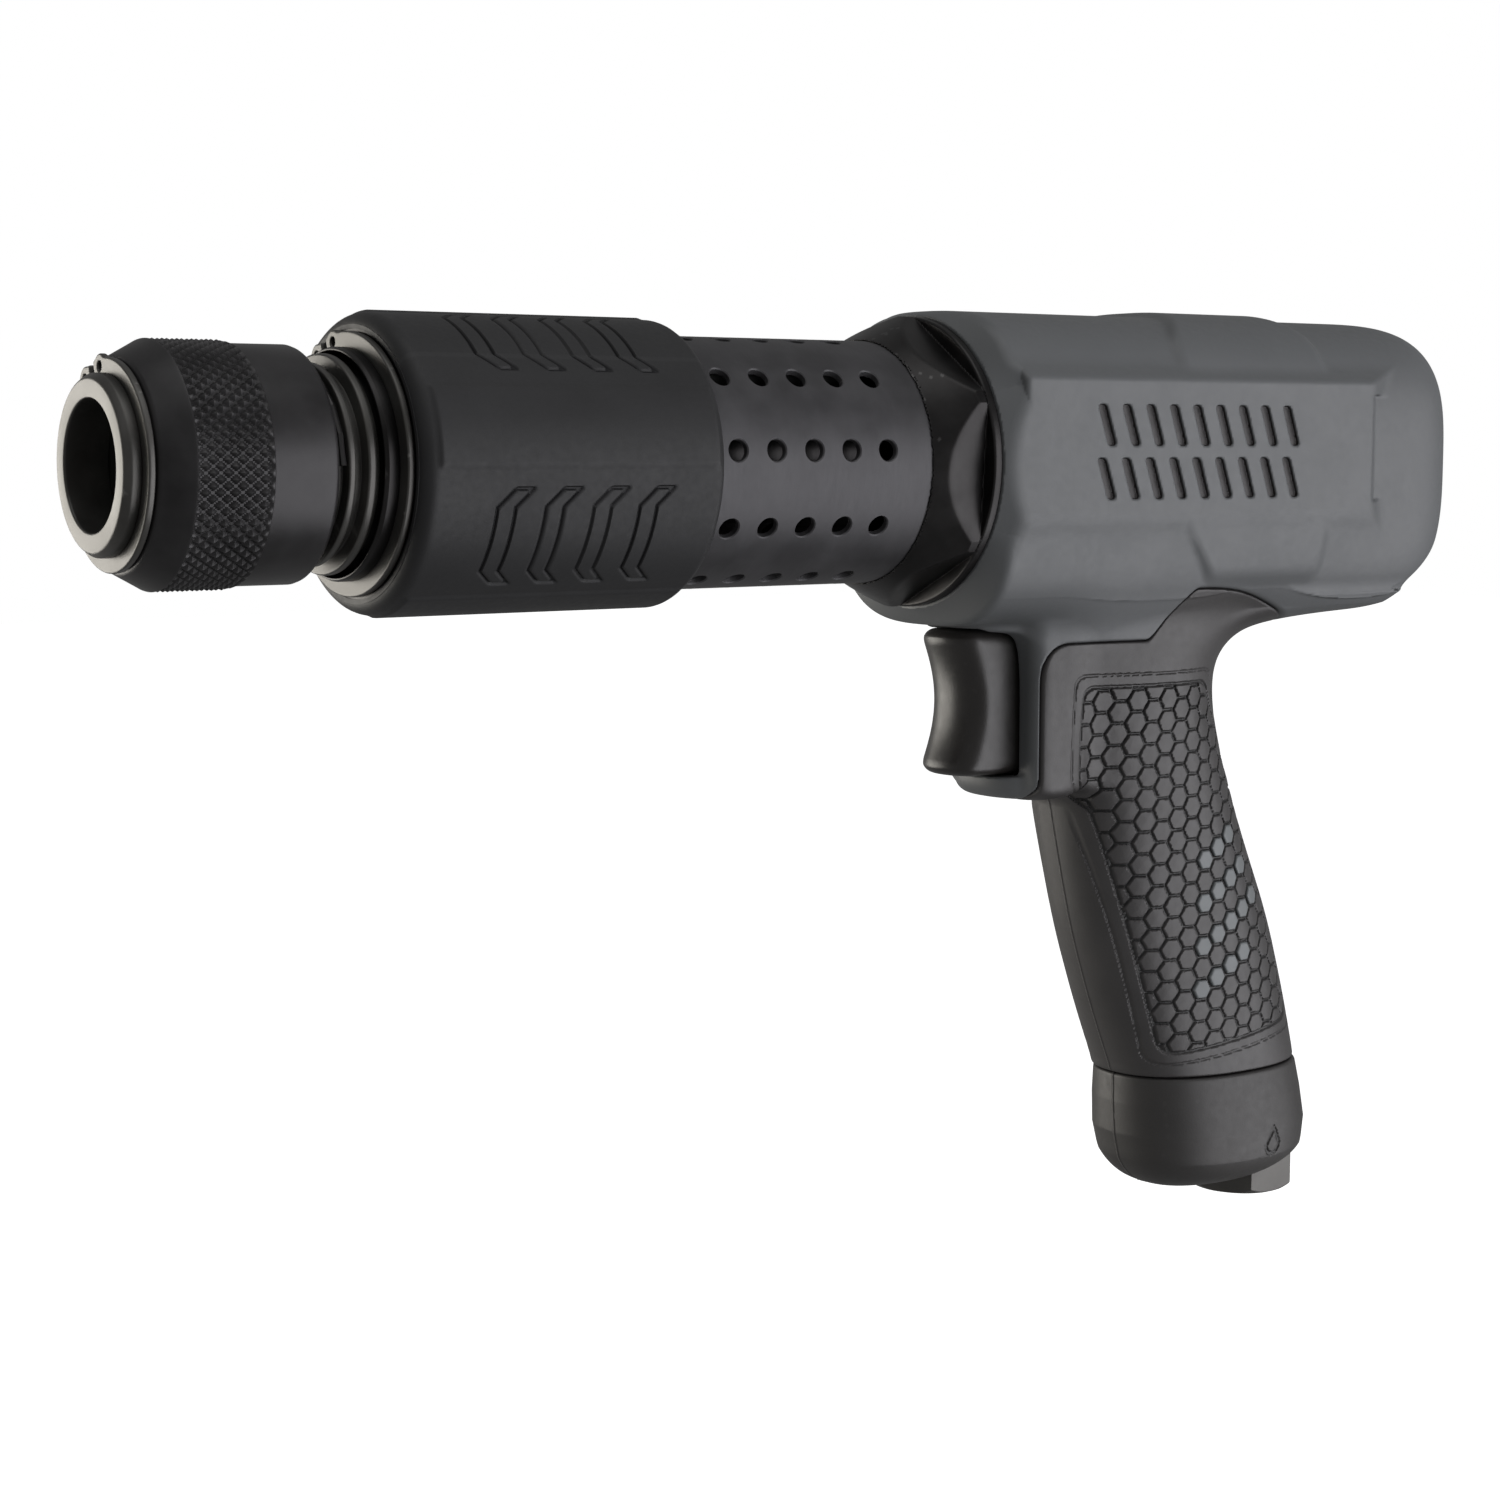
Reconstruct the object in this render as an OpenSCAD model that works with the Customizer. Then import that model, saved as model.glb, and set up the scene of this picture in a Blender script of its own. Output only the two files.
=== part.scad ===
// Pneumatic air hammer with a quick-change retainer, perforated barrel and pistol grip.
// +X points forward along the barrel, +Y to the tool's left, +Z up. Millimetres.
// The origin is the centre of the retainer's opening, on the barrel axis.

/* [Quick-change retainer] */
// Radius of the opening that a tool's collar passes through
nose_bore_r = 11.2; // [11.0:0.1:11.5]
// Outer radius of the retainer body
nose_r = 15.4; // [15.2:0.1:15.6]
// Radius of the release collar over its knurling
collar_r = 21.35; // [20.8:0.05:22]
// Travel of the release collar
collar_travel = 5.5; // [5:0.1:5.6]
// Radius of each locking ball
ball_r = 3.2; // [3:0.05:3.25]
// How far a ball moves outwards per millimetre of collar travel
ball_ratio = 0.345; // [0.33:0.005:0.35]

/* [Barrel] */
// Radius of the chisel shank bore
shank_r = 6.4; // [6.35:0.01:6.45]
// Radius of the piston bore in the cylinder
piston_bore_r = 9.55; // [9:0.05:10.5]
// Outside radius of the cylinder
cylinder_r = 18; // [17.4:0.1:18]
// Length of the piston
piston_length = 66; // [50:1:70]
// Outside radius of the perforated shroud
shroud_r = 23.9; // [23.8:0.05:23.95]
// Perforations along one row
hole_columns = 5; // [3:1:5]
// Rows of perforations around the shroud
hole_rows = 10; // [6:1:10]
// Spacing of the perforations along the shroud
hole_pitch = 8.65; // [7:0.05:8.7]
// Outside radius of the grip sleeve on the barrel
sleeve_r = 26.7; // [26.2:0.1:27.2]
// Size of the barrel nut across its flats
nut_flats = 51.5; // [51:0.5:53]

/* [Housing] */
// Where the housing starts behind the nose
housing_front_x = -173.5; // [-174:0.1:-173.5]
// Where the housing ends
housing_rear_x = -307; // [-320:1:-305]
// Height of the housing's top above the barrel axis
housing_top = 30.1; // [29.5:0.1:31]
// Depth of the housing's underside below the barrel axis
housing_bottom = 32.5; // [32:0.5:33]
// Half the width of the housing
housing_half_w = 30.4; // [29.5:0.1:31]

/* [Grip] */
// Lean of the grip, backwards on its way down, in degrees
grip_rake = 18; // [17:0.5:19]
// Half the depth of the grip, front to back, over its rubber
grip_half_depth = 24.2; // [22.8:0.1:25]
// Half the width of the grip over its rubber
grip_half_w = 17.2; // [16.8:0.1:18.5]
// Height of the seam between grip and base cap
seam_z = -132.5; // [-134:0.5:-131]
// Underside of the base cap
base_z = -159; // [-161:0.5:-158]

/* [Trigger] */
// Travel of the trigger
trigger_travel = 5.5; // [4:0.1:5.5]
// Half the width of the trigger
trigger_half_w = 8.5; // [8:0.1:8.6]

/* [Air inlet] */
// Radius of the inlet's threaded hole, at its thread crests
inlet_thread_r = 5.6; // [5.4:0.1:5.8]
// Size of the inlet bushing across its flats
inlet_flats = 21; // [20:0.5:21.5]

/* [Hidden] */

fine = 96;
fit = 0.05;           // radial clearance of a sliding fit
ball_gap = 0.15;      // clearance between a ball and the collar's cone

steel_black = [0.12, 0.12, 0.13];
steel_bright = [0.72, 0.72, 0.74];
rubber_black = [0.13, 0.13, 0.13];
housing_grey = [0.44, 0.46, 0.47];

// Retainer, from the nose back
ball_x = -15.3;
ball_rest_r = 12.7;
retainer_shoulder_x = -31.2;
spring_flange_x = -39;
stop_flange_x = collar_rear_x() - collar_travel - 0.3;
retainer_rear_x = -44.5;
thread_r = 13.9;
collar_front_x = -4.5;
collar_step_x = -26;
collar_skirt_bore_r = 18.3;
collar_pocket_r = ball_rest_r + ball_ratio * collar_travel + ball_r + 0.2;
function collar_rear_x() = -36.1;

// Barrel
piston_bore_x = -64;
cylinder_rear_x = -244;
bushing_flange_x = -53.2;
sleeve_front_x = -48.6;
sleeve_rear_x = -110.5;
shroud_wall = 1.3;
hole_first_x = -114.9;
hole_row_offset = 6;
hole_r = 2.1;
nut_front_x = -160;
nut_flange_x = -171.5;
nut_r = 29;
skirt_r = 28;
seat_x = -184;
flange_r = 25.4;
flange_x = -178;

// Valve group
block_rear_x = -255;
cap_rear_x = -266;
disc_r = 13;
disc_hole_r = 7.4;
disc_thickness = 2.6;
disc_travel = 1.2;
dowel_r = 1.5;
dowel_ring_r = 15.6;
chamber_rear_x = -271.1;

// Housing
case_power = 3.1;

// Grip frame: its origin lies on the grip's centre line
grip_x = -238.2;
grip_z = -83;
grip_power = 2.3;
core_half_depth = 20;
core_half_w = 14;
core_power = 2.8;
foot_x = -259;
foot_half_depth = 20.5;
core_foot_z = -152;

// Trigger and throttle
trigger_top_z = -34;
trigger_foot_z = -64;
trigger_front_x = -180;
trigger_web_x = -196;
trigger_heel_x = -203.5;
tongue_rear_x = -210.5;
tongue_z = -59.6;
tongue_half_h = 3;
block_half_w = 12.8;
throttle_z = -47;
throttle_front_x = -210;
throttle_rear_x = -234;
throttle_bore_rear_x = -241.5;
throttle_bush_r = 8.5;
stem_r = 2.5;
pin_x = -207;
pin_r = 1.5;

// Inlet
inlet_x = -269.5;
inlet_foot_z = -163;
inlet_hex_top_z = -153.1;
inlet_top_z = -137;
inlet_body_r = 8.5;

// A solid of revolution about the barrel axis, from [x, radius] corners
module turned(corners) {
    rotate([0, 90, 0]) rotate_extrude($fn = fine)
        polygon([for (c = corners) [c[1], c[0]]]);
}

// A round bar or hole along X
module bar_x(x0, x1, r) {
    translate([min(x0, x1), 0, 0]) rotate([0, 90, 0]) cylinder(h = abs(x1 - x0), r = r, $fn = fine);
}

// A washer-like ring along X
module ring_x(x0, x1, inner, outer) {
    difference() {
        bar_x(x0, x1, outer);
        bar_x(min(x0, x1) - 1, max(x0, x1) + 1, inner);
    }
}

// Children placed around the barrel axis, measured from +Y towards +Z
module around(angle, radius = 0) {
    rotate([angle, 0, 0]) translate([0, radius, 0]) children();
}

// A round hole pointing away from the barrel axis
module radial_hole(x, angle, r, from_r, to_r) {
    around(angle, from_r) translate([x, 0, 0]) rotate([-90, 0, 0])
        cylinder(h = to_r - from_r, r = r, $fn = 32);
}

// A toroidal seal about the barrel axis
module seal_x(x, ring_r, cord_r) {
    translate([x, 0, 0]) rotate([0, 90, 0]) rotate_extrude($fn = fine)
        translate([ring_r, 0]) circle(r = cord_r, $fn = 32);
}

// A closed outline's points on an arc
function arc(cx, cy, r, from, to, steps = 12) =
    [for (i = [0:steps]) let (a = from + (to - from) * i / steps) [cx + r * cos(a), cy + r * sin(a)]];

// A superellipse outline
function superellipse(a, b, power, steps = 72) = [
    for (i = [0:steps - 1])
        let (t = 360 * i / steps, c = cos(t), s = sin(t))
        [a * sign(c) * pow(abs(c), 2 / power), b * sign(s) * pow(abs(s), 2 / power)]
];

// An outline given as [x, z], extruded to both sides of the tool's middle plane
module side_plate(outline, half_w) {
    translate([0, half_w, 0]) rotate([90, 0, 0]) linear_extrude(2 * half_w) polygon(outline);
}

// An outline given as [x, y], extruded upwards
module plan_plate(outline, z0, z1) {
    translate([0, 0, z0]) linear_extrude(z1 - z0) polygon(outline);
}

// Children in the grip's own frame, whose Z runs up the leaning centre line
module on_grip() {
    translate([grip_x, 0, grip_z]) rotate([0, grip_rake, 0]) children();
}

module grip_bar(half_depth, half_w, power, z0, z1) {
    on_grip() translate([0, 0, z0]) linear_extrude(z1 - z0)
        polygon(superellipse(half_depth, half_w, power));
}

// A round wire wound along +X from the origin
module coil(mean_r, wire_r, length, turns) {
    sides = 8;
    rings = turns * 20;
    pitch_length = length - 2 * wire_r;
    function on_wire(i, k) =
        let (turn = 360 * turns * i / rings, a = 360 * k / sides, r = mean_r + wire_r * cos(a))
        [wire_r + pitch_length * i / rings + wire_r * sin(a), r * cos(turn), r * sin(turn)];
    corners = [for (i = [0:rings]) for (k = [0:sides - 1]) on_wire(i, k)];
    walls = [
        for (i = [0:rings - 1]) for (k = [0:sides - 1])
            let (a = i * sides + k, b = i * sides + (k + 1) % sides)
            each [[a, a + sides, b + sides], [a, b + sides, b]]
    ];
    front = [for (k = [0:sides - 1]) k];
    back = [for (k = [sides - 1:-1:0]) rings * sides + k];
    polyhedron(corners, concat(walls, [front, back]), convexity = 6);
}

// A retaining ring about the barrel axis, open between two ears with pliers holes
module snap_ring(x0, x1, inner, outer, gap_angle) {
    ear_angle = 380 / (inner + outer);
    ear_r = 2;
    ear_ring_r = (inner + outer) / 2 + 0.3;
    difference() {
        union() {
            ring_x(x0, x1, inner, outer);
            for (side = [-1, 1]) around(gap_angle + side * ear_angle, ear_ring_r)
                bar_x(x0, x1, ear_r);
        }
        bar_x(x0 - 1, x1 + 1, inner);
        around(gap_angle) translate([min(x0, x1) - 1, 0, -0.8]) cube([abs(x1 - x0) + 2, outer + 4, 1.6]);
        for (side = [-1, 1]) around(gap_angle + side * ear_angle, ear_ring_r)
            bar_x(x0 - 1, x1 + 1, 0.85);
    }
}

module retainer_body() {
    color(steel_black) difference() {
        turned([
            [0, nose_bore_r], [-8, nose_bore_r], [-8.3, nose_bore_r + 0.3],
            [retainer_shoulder_x, nose_bore_r + 0.3], [retainer_shoulder_x, thread_r + fit],
            [retainer_rear_x, thread_r + fit], [retainer_rear_x, 18.2],
            [stop_flange_x - 1.6, 18.2], [stop_flange_x - 1.6, 19.3], [stop_flange_x, 19.3],
            [stop_flange_x, 16.6], [spring_flange_x - 1.4, 16.6], [spring_flange_x - 1.4, 17.8],
            [spring_flange_x, 17.8], [spring_flange_x, nose_r], [-4.3, nose_r],
            [-4.3, nose_r - 0.8], [-2.9, nose_r - 0.8], [-2.9, nose_r], [-0.8, nose_r], [0, nose_r - 0.8]
        ]);
        for (i = [0:3]) radial_hole(ball_x, 45 + 90 * i, ball_r + 0.06, nose_bore_r - 2, nose_r + 2);
    }
}

module release_collar() {
    cone_angle = atan(ball_ratio);
    cone_r = ball_rest_r + (ball_r + ball_gap) / cos(cone_angle);
    bore_r = nose_r + fit;
    cone_rear_x = ball_x + (bore_r - cone_r) / ball_ratio;
    cone_front_x = ball_x + (collar_pocket_r - cone_r) / ball_ratio;
    skirt_out_r = collar_r - 0.65;
    color(steel_black) turned([
        [collar_front_x, bore_r], [collar_front_x, 17.9], [collar_front_x - 0.6, 18.6],
        [-9.9, collar_r - 0.1], [-10.3, collar_r], [-23.4, collar_r], [-24.1, skirt_out_r],
        [collar_rear_x() + 1.1, skirt_out_r], [collar_rear_x(), skirt_out_r - 1.1],
        [collar_rear_x(), collar_skirt_bore_r], [collar_step_x, collar_skirt_bore_r],
        [collar_step_x, bore_r], [cone_rear_x, bore_r], [cone_front_x, collar_pocket_r],
        [collar_front_x - 1.7, collar_pocket_r], [collar_front_x - 1.7, bore_r]
    ]);
}

module collar_snap_ring() {
    color(steel_bright) snap_ring(-2.95, -4.25, nose_r - 0.75, 18, 108);
}

module collar_spring() {
    color(steel_bright) translate([spring_flange_x + 0.1, 0, 0])
        coil(16.85, 0.65, collar_step_x - spring_flange_x - 0.2, 4);
}

module lock_ball(index) {
    color(steel_bright) around(45 + 90 * (index - 1), ball_rest_r)
        translate([ball_x, 0, 0]) sphere(r = ball_r, $fn = 64);
}
module lock_ball_1() { lock_ball(1); }
module lock_ball_2() { lock_ball(2); }
module lock_ball_3() { lock_ball(3); }
module lock_ball_4() { lock_ball(4); }

module cylinder_return_passage() {
    around(0, 14) bar_x(-70, cylinder_rear_x - 1, 1.3);
    radial_hole(-71.3, 0, 1.3, piston_bore_r - 1, 14);
}

module barrel_cylinder() {
    front_x = retainer_shoulder_x - 0.1;
    color(steel_bright) difference() {
        turned([
            [front_x, shank_r + 0.8], [front_x - 0.8, shank_r],
            [piston_bore_x + 1.5, shank_r], [piston_bore_x, piston_bore_r], [cylinder_rear_x, piston_bore_r],
            [cylinder_rear_x, cylinder_r], [-192.5, cylinder_r], [-192.5, cylinder_r - 1.9],
            [-190, cylinder_r - 1.9], [-190, cylinder_r], [seat_x, cylinder_r], [seat_x, flange_r],
            [flange_x, flange_r], [flange_x, cylinder_r], [retainer_rear_x, cylinder_r],
            [retainer_rear_x, thread_r], [front_x - 1, thread_r], [front_x, thread_r - 1]
        ]);
        for (i = [0:3]) radial_hole(-130, 45 + 90 * i, 2.2, piston_bore_r - 1, cylinder_r + 1);
        cylinder_return_passage();
        around(90, dowel_ring_r) bar_x(cylinder_rear_x + 4.2, cylinder_rear_x - 1, dowel_r + fit);
    }
}

module front_bushing() {
    out_r = 20.5;
    color(steel_black) turned([
        [retainer_rear_x, cylinder_r + fit], [retainer_rear_x, out_r - 0.6], [-45.1, out_r],
        [-47.2, out_r], [-47.2, 19.85], [-48.7, 19.85], [-48.7, out_r], [bushing_flange_x, out_r],
        [bushing_flange_x, shroud_r - shroud_wall - 0.1], [-58.5, shroud_r - shroud_wall - 0.1],
        [-58.5, cylinder_r + fit]
    ]);
}

module sleeve_snap_ring() {
    color(steel_bright) snap_ring(-47.25, -48.6, 19.9, 23.3, 110);
}

module sleeve_washer() {
    color(steel_black) ring_x(-48.75, -50.4, 20.6, 24.4);
}

module barrel_sleeve() {
    front_round = 3;
    color(rubber_black) turned(concat(
        [[sleeve_front_x, 24.5]],
        [for (p = arc(sleeve_front_x - front_round, sleeve_r - front_round, front_round, 0, 90, 6)) p],
        [[sleeve_rear_x + 1.4, sleeve_r], [sleeve_rear_x, sleeve_r - 1.2], [sleeve_rear_x, shroud_r + fit]],
        [[-53, shroud_r + fit], [-53, 20.7], [-50.5, 20.7], [-50.5, 24.5]]
    ));
}

module barrel_shroud() {
    color(steel_black) difference() {
        turned([
            [bushing_flange_x, shroud_r - shroud_wall], [bushing_flange_x, shroud_r],
            [flange_x + 2, shroud_r], [flange_x + 2, flange_r], [flange_x, flange_r],
            [flange_x, shroud_r - shroud_wall]
        ]);
        for (row = [0:hole_rows - 1]) for (column = [0:hole_columns - 1])
            radial_hole(hole_first_x - hole_pitch * column, hole_row_offset + 360 / hole_rows * row,
                hole_r, shroud_r - 3, shroud_r + 2);
    }
}

module barrel_nut() {
    hex_turn = -4;
    hex_corner_r = nut_flats / 2 / cos(30);
    color(steel_black) difference() {
        union() {
            intersection() {
                turned([
                    [nut_front_x, 0], [nut_front_x, shroud_r + 0.3], [-169.4, nut_r],
                    [nut_flange_x, nut_r], [nut_flange_x, 0]
                ]);
                rotate([hex_turn, 0, 0]) translate([nut_flange_x, 0, 0]) rotate([0, 90, 0])
                    cylinder(h = nut_front_x - nut_flange_x, r = hex_corner_r, $fn = 6);
            }
            bar_x(nut_flange_x, housing_front_x, nut_r);
            bar_x(housing_front_x, seat_x + 0.1, skirt_r);
        }
        bar_x(nut_front_x + 1, seat_x - 1, shroud_r + fit);
        bar_x(flange_x + 2.1, seat_x - 1, flange_r + 0.15);
    }
}

module cylinder_o_ring() {
    color(rubber_black) seal_x(-191.25, cylinder_r - 0.95, 0.93);
}

module piston() {
    front_x = cylinder_rear_x + 1 + piston_length;
    piston_r = piston_bore_r - fit;
    color(steel_bright) turned([
        [front_x, 0], [front_x, 6.2], [front_x - 1, 7.4], [front_x - 12, 7.4], [front_x - 14, piston_r],
        [front_x - 30, piston_r], [front_x - 30.6, piston_r - 0.6], [front_x - 33, piston_r - 0.6],
        [front_x - 33.6, piston_r], [cylinder_rear_x + 2, piston_r], [cylinder_rear_x + 1, piston_r - 1],
        [cylinder_rear_x + 1, 0]
    ]);
}

module valve_block() {
    color(steel_bright) difference() {
        ring_x(cylinder_rear_x, block_rear_x, 6.5, cylinder_r);
        bar_x(block_rear_x + disc_thickness + disc_travel + 0.2, block_rear_x - 1, disc_r + 0.3);
        around(0, 14.6) bar_x(cylinder_rear_x + 1, block_rear_x - 1, 1.3);
        around(90, dowel_ring_r) bar_x(cylinder_rear_x + 1, block_rear_x - 1, dowel_r + fit);
    }
}

module valve_disc() {
    front_x = block_rear_x + disc_thickness + disc_travel + 0.1;
    color(steel_bright) ring_x(front_x, front_x - disc_thickness, disc_hole_r, disc_r);
}

module valve_cap() {
    color(steel_bright) difference() {
        ring_x(block_rear_x, cap_rear_x, 3.5, cylinder_r);
        for (i = [0:5]) around(30 + 60 * i, 10.2) bar_x(block_rear_x + 1, cap_rear_x - 1, 2);
        around(90, dowel_ring_r) bar_x(block_rear_x + 1, block_rear_x - 7.2, dowel_r + fit);
    }
}

module valve_pin() {
    color(steel_bright) around(90, dowel_ring_r) bar_x(cylinder_rear_x + 4, block_rear_x - 7, dowel_r);
}

module rear_buffer() {
    color(rubber_black) ring_x(cap_rear_x - 0.1, chamber_rear_x, 8, cylinder_r);
}

// Outline of the housing across the barrel, as [y, z]: deeper below than above
function housing_section(grow) = concat(
    [for (p = superellipse(housing_half_w + grow * 0.4, housing_top + grow, case_power)) if (p[1] >= 0) p],
    [for (p = superellipse(housing_half_w + grow * 0.4, housing_bottom, case_power)) if (p[1] < 0) p]
);

module housing_bar(x0, x1, grow) {
    translate([x0, 0, 0]) rotate([90, 0, 90]) linear_extrude(x1 - x0) polygon(housing_section(grow));
}

module housing_barrel_case() {
    rear_r = 13;
    rear_plan_r = 15;
    intersection() {
        union() {
            housing_bar(housing_rear_x, housing_front_x, 0);
            housing_bar(-269, -228, 0.8);
        }
        side_plate(concat(
            [[-150, 40]],
            arc(housing_rear_x + rear_r, housing_top + 1 - rear_r, rear_r, 90, 180),
            arc(housing_rear_x + rear_r + 3, -housing_bottom + rear_r, rear_r + 2, 185, 270),
            [[-150, -40]]
        ), 40);
        plan_plate(concat(
            [[-150, 40]],
            arc(housing_rear_x + rear_plan_r, housing_half_w - rear_plan_r + 0.6, rear_plan_r, 90, 180),
            arc(housing_rear_x + rear_plan_r, -housing_half_w + rear_plan_r - 0.6, rear_plan_r, 180, 270),
            [[-150, -40]]
        ), -60, 60);
        turned([
            [housing_front_x, 0], [housing_front_x, nut_r + 0.4], [housing_front_x - 5, nut_r + 4],
            [-185, 48], [housing_rear_x - 5, 48], [housing_rear_x - 5, 0]
        ]);
    }
}

// Grey block under the barrel case that carries the trigger
module trigger_block() {
    lip_top_z = trigger_foot_z - 0.3;
    lip_foot_z = -69.7;
    lip_front_x = -190;
    lip_r = 4;
    side_plate(concat(
        [[trigger_web_x, -28], [trigger_web_x, lip_top_z], [lip_front_x, lip_top_z]],
        arc(lip_front_x - lip_r, lip_foot_z + lip_r, lip_r, 0, -90, 8),
        [[-212, lip_foot_z], [-212, -28]]
    ), block_half_w);
}

module neck() {
    neck_x = -222;
    difference() {
        plan_plate([for (p = superellipse(32, 15, 3)) [p[0] + neck_x, p[1]]], -37.3, -20);
        translate([trigger_web_x, -30, -60]) cube([40, 60, 60 + trigger_top_z + 0.3]);
    }
}

// The handle inside the rubber, and its foot inside the base cap
module core(gap = 0) {
    intersection() {
        grip_bar(core_half_depth + gap, core_half_w + gap, core_power, -70, 70);
        translate([-330, -30, -140]) cube([160, 60, 120]);
    }
    plan_plate([for (p = superellipse(foot_half_depth + gap, core_half_w + gap, core_power)) [p[0] + foot_x, p[1]]],
        core_foot_z - gap, seam_z - 0.1);
}

module trigger_pocket() {
    half_w = trigger_half_w + 0.4;
    translate([trigger_heel_x - trigger_travel - 0.5, -half_w, trigger_foot_z - 0.3])
        cube([40, 2 * half_w, trigger_top_z - trigger_foot_z + 0.6]);
    translate([tongue_rear_x - trigger_travel - 0.5, -5.4, tongue_z - tongue_half_h - 0.4])
        cube([20, 10.8, 2 * tongue_half_h + 0.8]);
}

module housing() {
    color(housing_grey) difference() {
        union() {
            housing_barrel_case();
            trigger_block();
            neck();
            core();
        }
        // Barrel nut thread, cylinder seat, valve chamber and air plenum
        bar_x(housing_front_x + 1, seat_x, skirt_r + fit);
        bar_x(seat_x + 1, chamber_rear_x, cylinder_r + fit);
        bar_x(chamber_rear_x + 1, -290, 12);
        // Gallery from the throttle to the plenum
        translate([-284, -4, -24]) cube([76, 8, 15]);
        translate([-217.8, 0, throttle_z]) cylinder(h = 28, r = 3, $fn = 32);
        // Trigger pocket, its pin and the throttle bore
        trigger_pocket();
        translate([pin_x, 0, tongue_z]) rotate([90, 0, 0])
            cylinder(h = 60, r = pin_r + 0.02, center = true, $fn = 32);
        translate([0, 0, throttle_z]) bar_x(trigger_heel_x, throttle_bore_rear_x, throttle_bush_r + fit);
        // Air passage up the grip, and the inlet's thread
        translate([-237, 0, throttle_z]) rotate([0, grip_rake, 0])
            translate([0, 0, -92]) cylinder(h = 92, r = 5, $fn = 48);
        translate([inlet_x, 0, core_foot_z - 1])
            cylinder(h = inlet_top_z - core_foot_z + 5, r = inlet_body_r + fit, $fn = fine);
    }
}

module trigger() {
    waist_depth = 3.2;
    lip_r = 2;
    half_h = (trigger_top_z - trigger_foot_z) / 2;
    mid_z = (trigger_top_z + trigger_foot_z) / 2;
    chord = half_h - lip_r;
    waist_r = (chord * chord + waist_depth * waist_depth) / (2 * waist_depth);
    sweep = asin(chord / waist_r);
    rear_x = trigger_web_x - 1;
    body = concat(
        [[rear_x, trigger_top_z]],
        arc(trigger_front_x - lip_r, trigger_top_z - lip_r, lip_r, 90, 10, 5),
        arc(trigger_front_x - waist_depth + waist_r, mid_z, waist_r, 180 - sweep + 1, 180 + sweep - 1, 16),
        arc(trigger_front_x - lip_r, trigger_foot_z + lip_r, lip_r, -10, -90, 5),
        [[rear_x, trigger_foot_z]]
    );
    nose_depth = 6;
    nose_x = trigger_front_x - nose_depth;
    plan = concat(
        [for (i = [0:16]) let (a = -90 + 180 * i / 16) [nose_x + nose_depth * cos(a), trigger_half_w * sin(a)]],
        [[rear_x, trigger_half_w], [rear_x, -trigger_half_w]]
    );
    heel = [
        [rear_x + 1, trigger_top_z - 2], [trigger_heel_x, trigger_top_z - 2],
        [trigger_heel_x, -56], [rear_x + 1, -56]
    ];
    tongue = [
        [rear_x + 1, tongue_z + tongue_half_h], [tongue_rear_x, tongue_z + tongue_half_h],
        [tongue_rear_x, tongue_z - tongue_half_h], [rear_x + 1, tongue_z - tongue_half_h]
    ];
    slot_r = pin_r + 0.1;
    slot_len = trigger_travel + 0.1;
    color(rubber_black) difference() {
        union() {
            intersection() {
                side_plate(body, trigger_half_w);
                plan_plate(plan, -80, 0);
            }
            side_plate(heel, trigger_half_w - 1.5);
            side_plate(tongue, 5);
        }
        // Slot for the pin that keeps the trigger in
        for (dx = [0, slot_len]) translate([pin_x + dx - 0.05, 0, tongue_z]) rotate([90, 0, 0])
            cylinder(h = 40, r = slot_r, center = true, $fn = 32);
        translate([pin_x - 0.05, -20, tongue_z - slot_r]) cube([slot_len, 40, 2 * slot_r]);
    }
}

module trigger_pin() {
    color(steel_bright) translate([pin_x, 0, tongue_z]) rotate([90, 0, 0])
        cylinder(h = 2 * block_half_w - 1, r = pin_r, center = true, $fn = 32);
}

module throttle_bushing() {
    guide_end_x = throttle_front_x - 4.5;
    seat_front_x = -221;
    seat_rear_x = -223;
    groove_x = -228;
    color("goldenrod") translate([0, 0, throttle_z]) difference() {
        turned([
            [throttle_front_x, stem_r + fit], [guide_end_x, stem_r + fit], [guide_end_x, 6.2],
            [seat_front_x, 6.2], [seat_front_x, 4.2], [seat_rear_x, 4.2], [seat_rear_x - 0.8, 7],
            [throttle_rear_x, 7], [throttle_rear_x, throttle_bush_r], [groove_x - 0.9, throttle_bush_r],
            [groove_x - 0.9, 7.7], [groove_x + 0.9, 7.7], [groove_x + 0.9, throttle_bush_r],
            [throttle_front_x, throttle_bush_r]
        ]);
        for (i = [0:3]) translate([-217.8, 0, 0]) rotate([90 * i, 0, 0]) cylinder(h = 10, r = 2.4, $fn = 32);
    }
}

module throttle_bushing_o_ring() {
    color(rubber_black) translate([0, 0, throttle_z]) seal_x(-228, 8.12, 0.4);
}

module throttle_valve() {
    color(steel_bright) translate([0, 0, throttle_z]) turned([
        [trigger_heel_x - 0.1, 0], [trigger_heel_x - 0.1, stem_r], [-223.3, stem_r], [-223.3, 3.2],
        [-224.85, 3.2], [-224.85, 5.6], [-227.6, 5.6], [-227.6, 1.8], [-230.5, 1.8], [-230.5, 0]
    ]);
}

module throttle_seal() {
    color(rubber_black) translate([0, 0, throttle_z]) seal_x(-224.05, 4, 0.75);
}

module throttle_spring() {
    color(steel_bright) translate([throttle_bore_rear_x + 0.1, 0, throttle_z]) coil(3.4, 0.45, 13.7, 6);
}

// Side view of the rubber: it stops at the trigger block, the neck and the base cap
module grip_side_mask() {
    side_plate([
        [-198.2, -62.5], [-198.2, -38], [-229, -38], [-236, -33.2], [-254, -33.2], [-262, -35],
        [-256, -41], [-300, -60], [-330, seam_z], [-150, seam_z], [-150, -70.2], [-198.2, -70.2]
    ], 40);
}

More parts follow.
